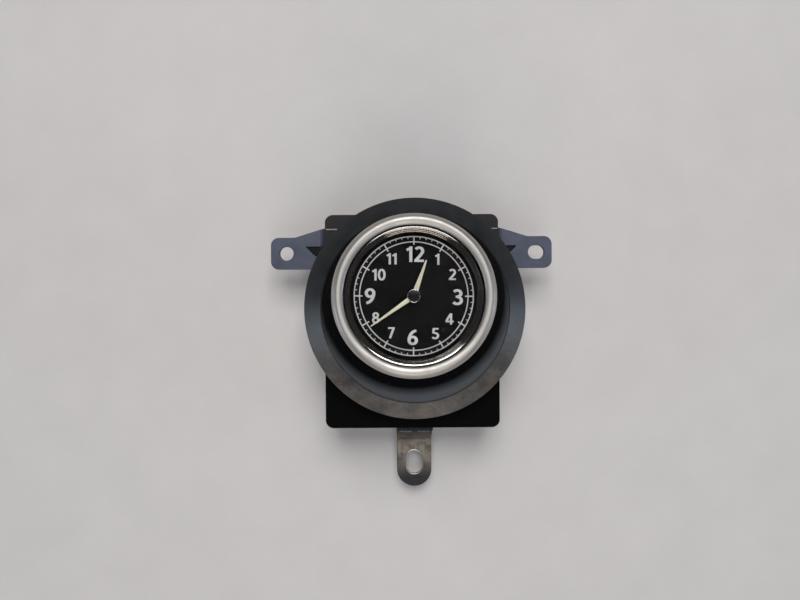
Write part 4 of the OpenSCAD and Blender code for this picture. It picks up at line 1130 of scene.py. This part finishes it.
@dataclass
class Mountings:
    """Ears, strap and box: softened edges, the burr round the strap's slot and the painted highlight on the step of
    the box.
    """

    slot_w: float = 6.8
    slot_l: float = 9.9
    slot_x: float = 0.8
    slot_y: float = -58.2
    top_z: float = 8.0
    burr: float = 0.12
    burr_out: float = 0.02
    burr_sink: float = 0.03
    burr_flat: float = 0.7
    burr_sides: int = 8
    edge: float = 0.25
    edge_angle: float = 40.0
    edge_steps: int = 2
    edge_weld: float = 1e-6
    step_y: float = 35.0
    step_z: float = 27.0
    step_x: Span = (27.8, 32.6)
    step_w: float = 0.42
    step_level: Span = (-0.1, 0.06)
    step_rows: int = 16
    step_blunt: int = 8
    step_least: float = 0.02
    softened: tuple[str, ...] = (
        "left_ear", "right_ear", "lower_strap", "front_housing", "rear_cover", "connector_shell")

    def burr_ring(self) -> Array:
        """A round bead of radius burr carried along the slot's edge.

        Returns:
            Grid of shape (n, burr_sides, 3).
        """
        half, r = (self.slot_l - self.slot_w) / 2, self.slot_w / 2 + self.burr_out
        path = np.vstack([arc(self.slot_x, self.slot_y + half, r, r, 0, 180, 24),
                          arc(self.slot_x, self.slot_y - half, r, r, 180, 360, 24)])
        a = np.linspace(0.0, TURN, self.burr_sides, endpoint=False)
        flat = path[:, None] - self.burr * np.cos(a)[None, :, None] * normals(path, True)[:, None]
        height = self.top_z - self.burr_sink + self.burr * self.burr_flat * np.sin(a)
        return grid_of(flat[..., 0], flat[..., 1], height)

    def step_edge(self, side: float) -> Array:
        """Painted highlight on the edge of the step in the box's front: a pale flat strip along X that thins to
        nothing at its ends.

        Args:
            side: 1 for the right end of the step, -1 for the left.

        Returns:
            Grid of shape (n, 6, 3).
        """
        t = np.linspace(0.0, 1.0, self.step_rows)
        reach = side * (self.step_x[0] + (self.step_x[1] - self.step_x[0]) * t)
        path = np.stack([reach, np.full(self.step_rows, self.step_y - self.step_w / 2)], 1)
        half = self.step_w / 2 * np.sqrt(np.clip(1.0 - (2.0 * t - 1.0) ** self.step_blunt, self.step_least, 1.0))
        return ribbon(path, half, self.step_z + self.step_level[0], self.step_z + self.step_level[1])

    def soften(self) -> None:
        """Rounds the sharp edges of the pressed and moulded nodes with live modifiers."""
        for name in self.softened:
            obj = frame["nodes"][name]
            obj.modifiers.new("seams", "WELD").merge_threshold = self.edge_weld
            bevel = obj.modifiers.new("soft_edges", "BEVEL")
            bevel.width = self.edge * MM
            bevel.segments = self.edge_steps
            bevel.limit_method = "ANGLE"
            bevel.angle_limit = math.radians(self.edge_angle)
            LOG.info("soft edges on %s", name)

    def build(self) -> None:
        """Softens the edges and adds the burr and the painted highlight on the step."""
        self.soften()
        Mould().grid(self.burr_ring(), wrap=True).piece("strap_slot_burr", Body.CASE, SLOT_BURR)
        # Pale strips of painted highlight along both ends of the step.
        step_highlight = Mould().grid(self.step_edge(-1.0)).grid(self.step_edge(1.0))
        step_highlight.piece("box_step_highlight", Body.CASE, STEP_HIGHLIGHT)


class Nodes:
    """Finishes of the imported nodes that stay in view."""

    def dress(self) -> None:
        """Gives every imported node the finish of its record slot."""
        for row in frame["record"]["subparts"]:
            Slot[row["material_slot"].upper()].value.dress(frame["nodes"][row["node"]])
            LOG.info("finish of %s: %s", row["node"], row["material_slot"])


# ---- studio


@dataclass(frozen=True)
class Lamp:
    """A soft square lamp aimed at a point."""

    name: str
    place: Vec
    size: float
    power: float
    colour: Colour
    aim: Vec = (0.0, 0.0, 0.04)

    def build(self) -> None:
        """Adds the lamp to the scene."""
        data = bpy.data.lights.new(self.name, "AREA")
        data.shape, data.size, data.energy, data.color = "SQUARE", self.size, self.power, self.colour
        obj = shown(self.name, data)
        obj.location = self.place
        obj.rotation_euler = (Vector(self.aim) - Vector(self.place)).to_track_quat("-Z", "Y").to_euler()


@dataclass
class Studio:
    """Pale floor, soft lamps, even surrounding light and the camera above the clock."""

    eye: Vec = (-0.00454, 0.00794, 0.263)
    roll: float = -0.4
    focal: float = 28.08
    sensor: float = 36.0
    floor_half: float = 3.0
    floor_drop: float = 2e-5
    floor_mottle: float = 1.06
    clip: Span = (0.01, 50.0)
    floor_colour: Colour = (0.55, 0.53, 0.52)
    zenith_colour: Colour = (0.03, 0.03, 0.033)
    horizon_colour: Colour = (0.115, 0.110, 0.106)
    lamps: tuple[Lamp, ...] = (
        Lamp("key_top", (0.02, 0.47, 0.87), 0.48, 6.8, (1.0, 0.99, 0.98)),
        Lamp("sky_low", (0.03, -0.42, 0.82), 0.42, 1.7, (0.88, 0.94, 1.0)),
        Lamp("fill_low", (-0.02, -0.74, 0.50), 0.68, 2.1, (1.0, 0.91, 0.82)),
        Lamp("side_left", (-0.81, -0.20, 0.21), 0.32, 1.2, (0.70, 0.83, 1.0)),
        Lamp("side_right", (0.80, -0.13, 0.205), 0.31, 1.3, (0.70, 0.83, 1.0)),
        Lamp("window", (-0.35, 0.61, 0.60), 0.30, 0.24, (0.96, 0.98, 1.0), (0.0, 0.0, 0.05)),
    )

    def floor(self) -> None:
        """Adds the floor: a flat square just under the rear face."""
        mesh = bpy.data.meshes.new("floor")
        corners = self.floor_half * line((-1, -1), (1, -1), (1, 1), (-1, 1))
        mesh.from_pydata([(x, y, -self.floor_drop) for x, y in corners.tolist()], [], [(0, 1, 2, 3)])
        obj = shown("floor", mesh)
        mottle = tuple(self.floor_mottle * part for part in self.floor_colour)
        Moulded("floor_pale", self.floor_colour, 0.85, mottle, 40.0, 700.0, 0.02, 0.0, 0.2).dress(obj)

    def camera(self) -> None:
        """Adds the camera, straight above the clock with 12 o'clock up."""
        data = bpy.data.cameras.new("camera")
        data.lens, data.sensor_width = self.focal, self.sensor
        data.clip_start, data.clip_end = self.clip
        obj = shown("camera", data)
        obj.location = self.eye
        obj.rotation_euler = (0.0, 0.0, math.radians(self.roll))
        bpy.context.scene.camera = obj

    def world(self) -> None:
        """Sets the light from all round: its colour goes from the horizon's to the zenith's with the ray's height."""
        world = bpy.data.worlds.new("studio")
        bpy.context.scene.world = world
        world.use_nodes = True
        tree = world.node_tree
        split = tree.nodes.new("ShaderNodeSeparateXYZ")
        ramp = tree.nodes.new("ShaderNodeValToRGB")
        ramp.color_ramp.elements[0].color = (*self.horizon_colour, 1.0)
        ramp.color_ramp.elements[1].color = (*self.zenith_colour, 1.0)
        tree.links.new(tree.nodes.new("ShaderNodeTexCoord").outputs["Generated"], split.inputs[0])
        tree.links.new(split.outputs["Z"], ramp.inputs["Fac"])
        tree.links.new(ramp.outputs["Color"], tree.nodes["Background"].inputs["Color"])

    def build(self) -> None:
        """Sets up the whole studio."""
        self.camera()
        self.floor()
        self.world()
        for lamp in self.lamps:
            lamp.build()
        bpy.context.scene.view_settings.view_transform = "Standard"


def main() -> None:
    """Builds the studio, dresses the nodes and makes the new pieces."""
    logging.basicConfig(level=logging.INFO, format="%(name)s %(message)s")
    Studio().build()
    Nodes().dress()
    Bezel().build()
    DialFace().build()
    Pointer("hour_hand_ridged", "hour_hand", Body.HOUR, 19.6, 12.5, 1.9, 0.5, 2.1, 1.72, 1.5).build()
    Pointer("minute_hand_ridged", "minute_hand", Body.MINUTE, 235.4, 17.2, 1.6, 0.4, 1.85, 1.12, 2.7).build()
    HubCap().build()
    Shroud().build()
    Coil().build()
    Mountings().build()


if __name__ == "__main__":
    main()
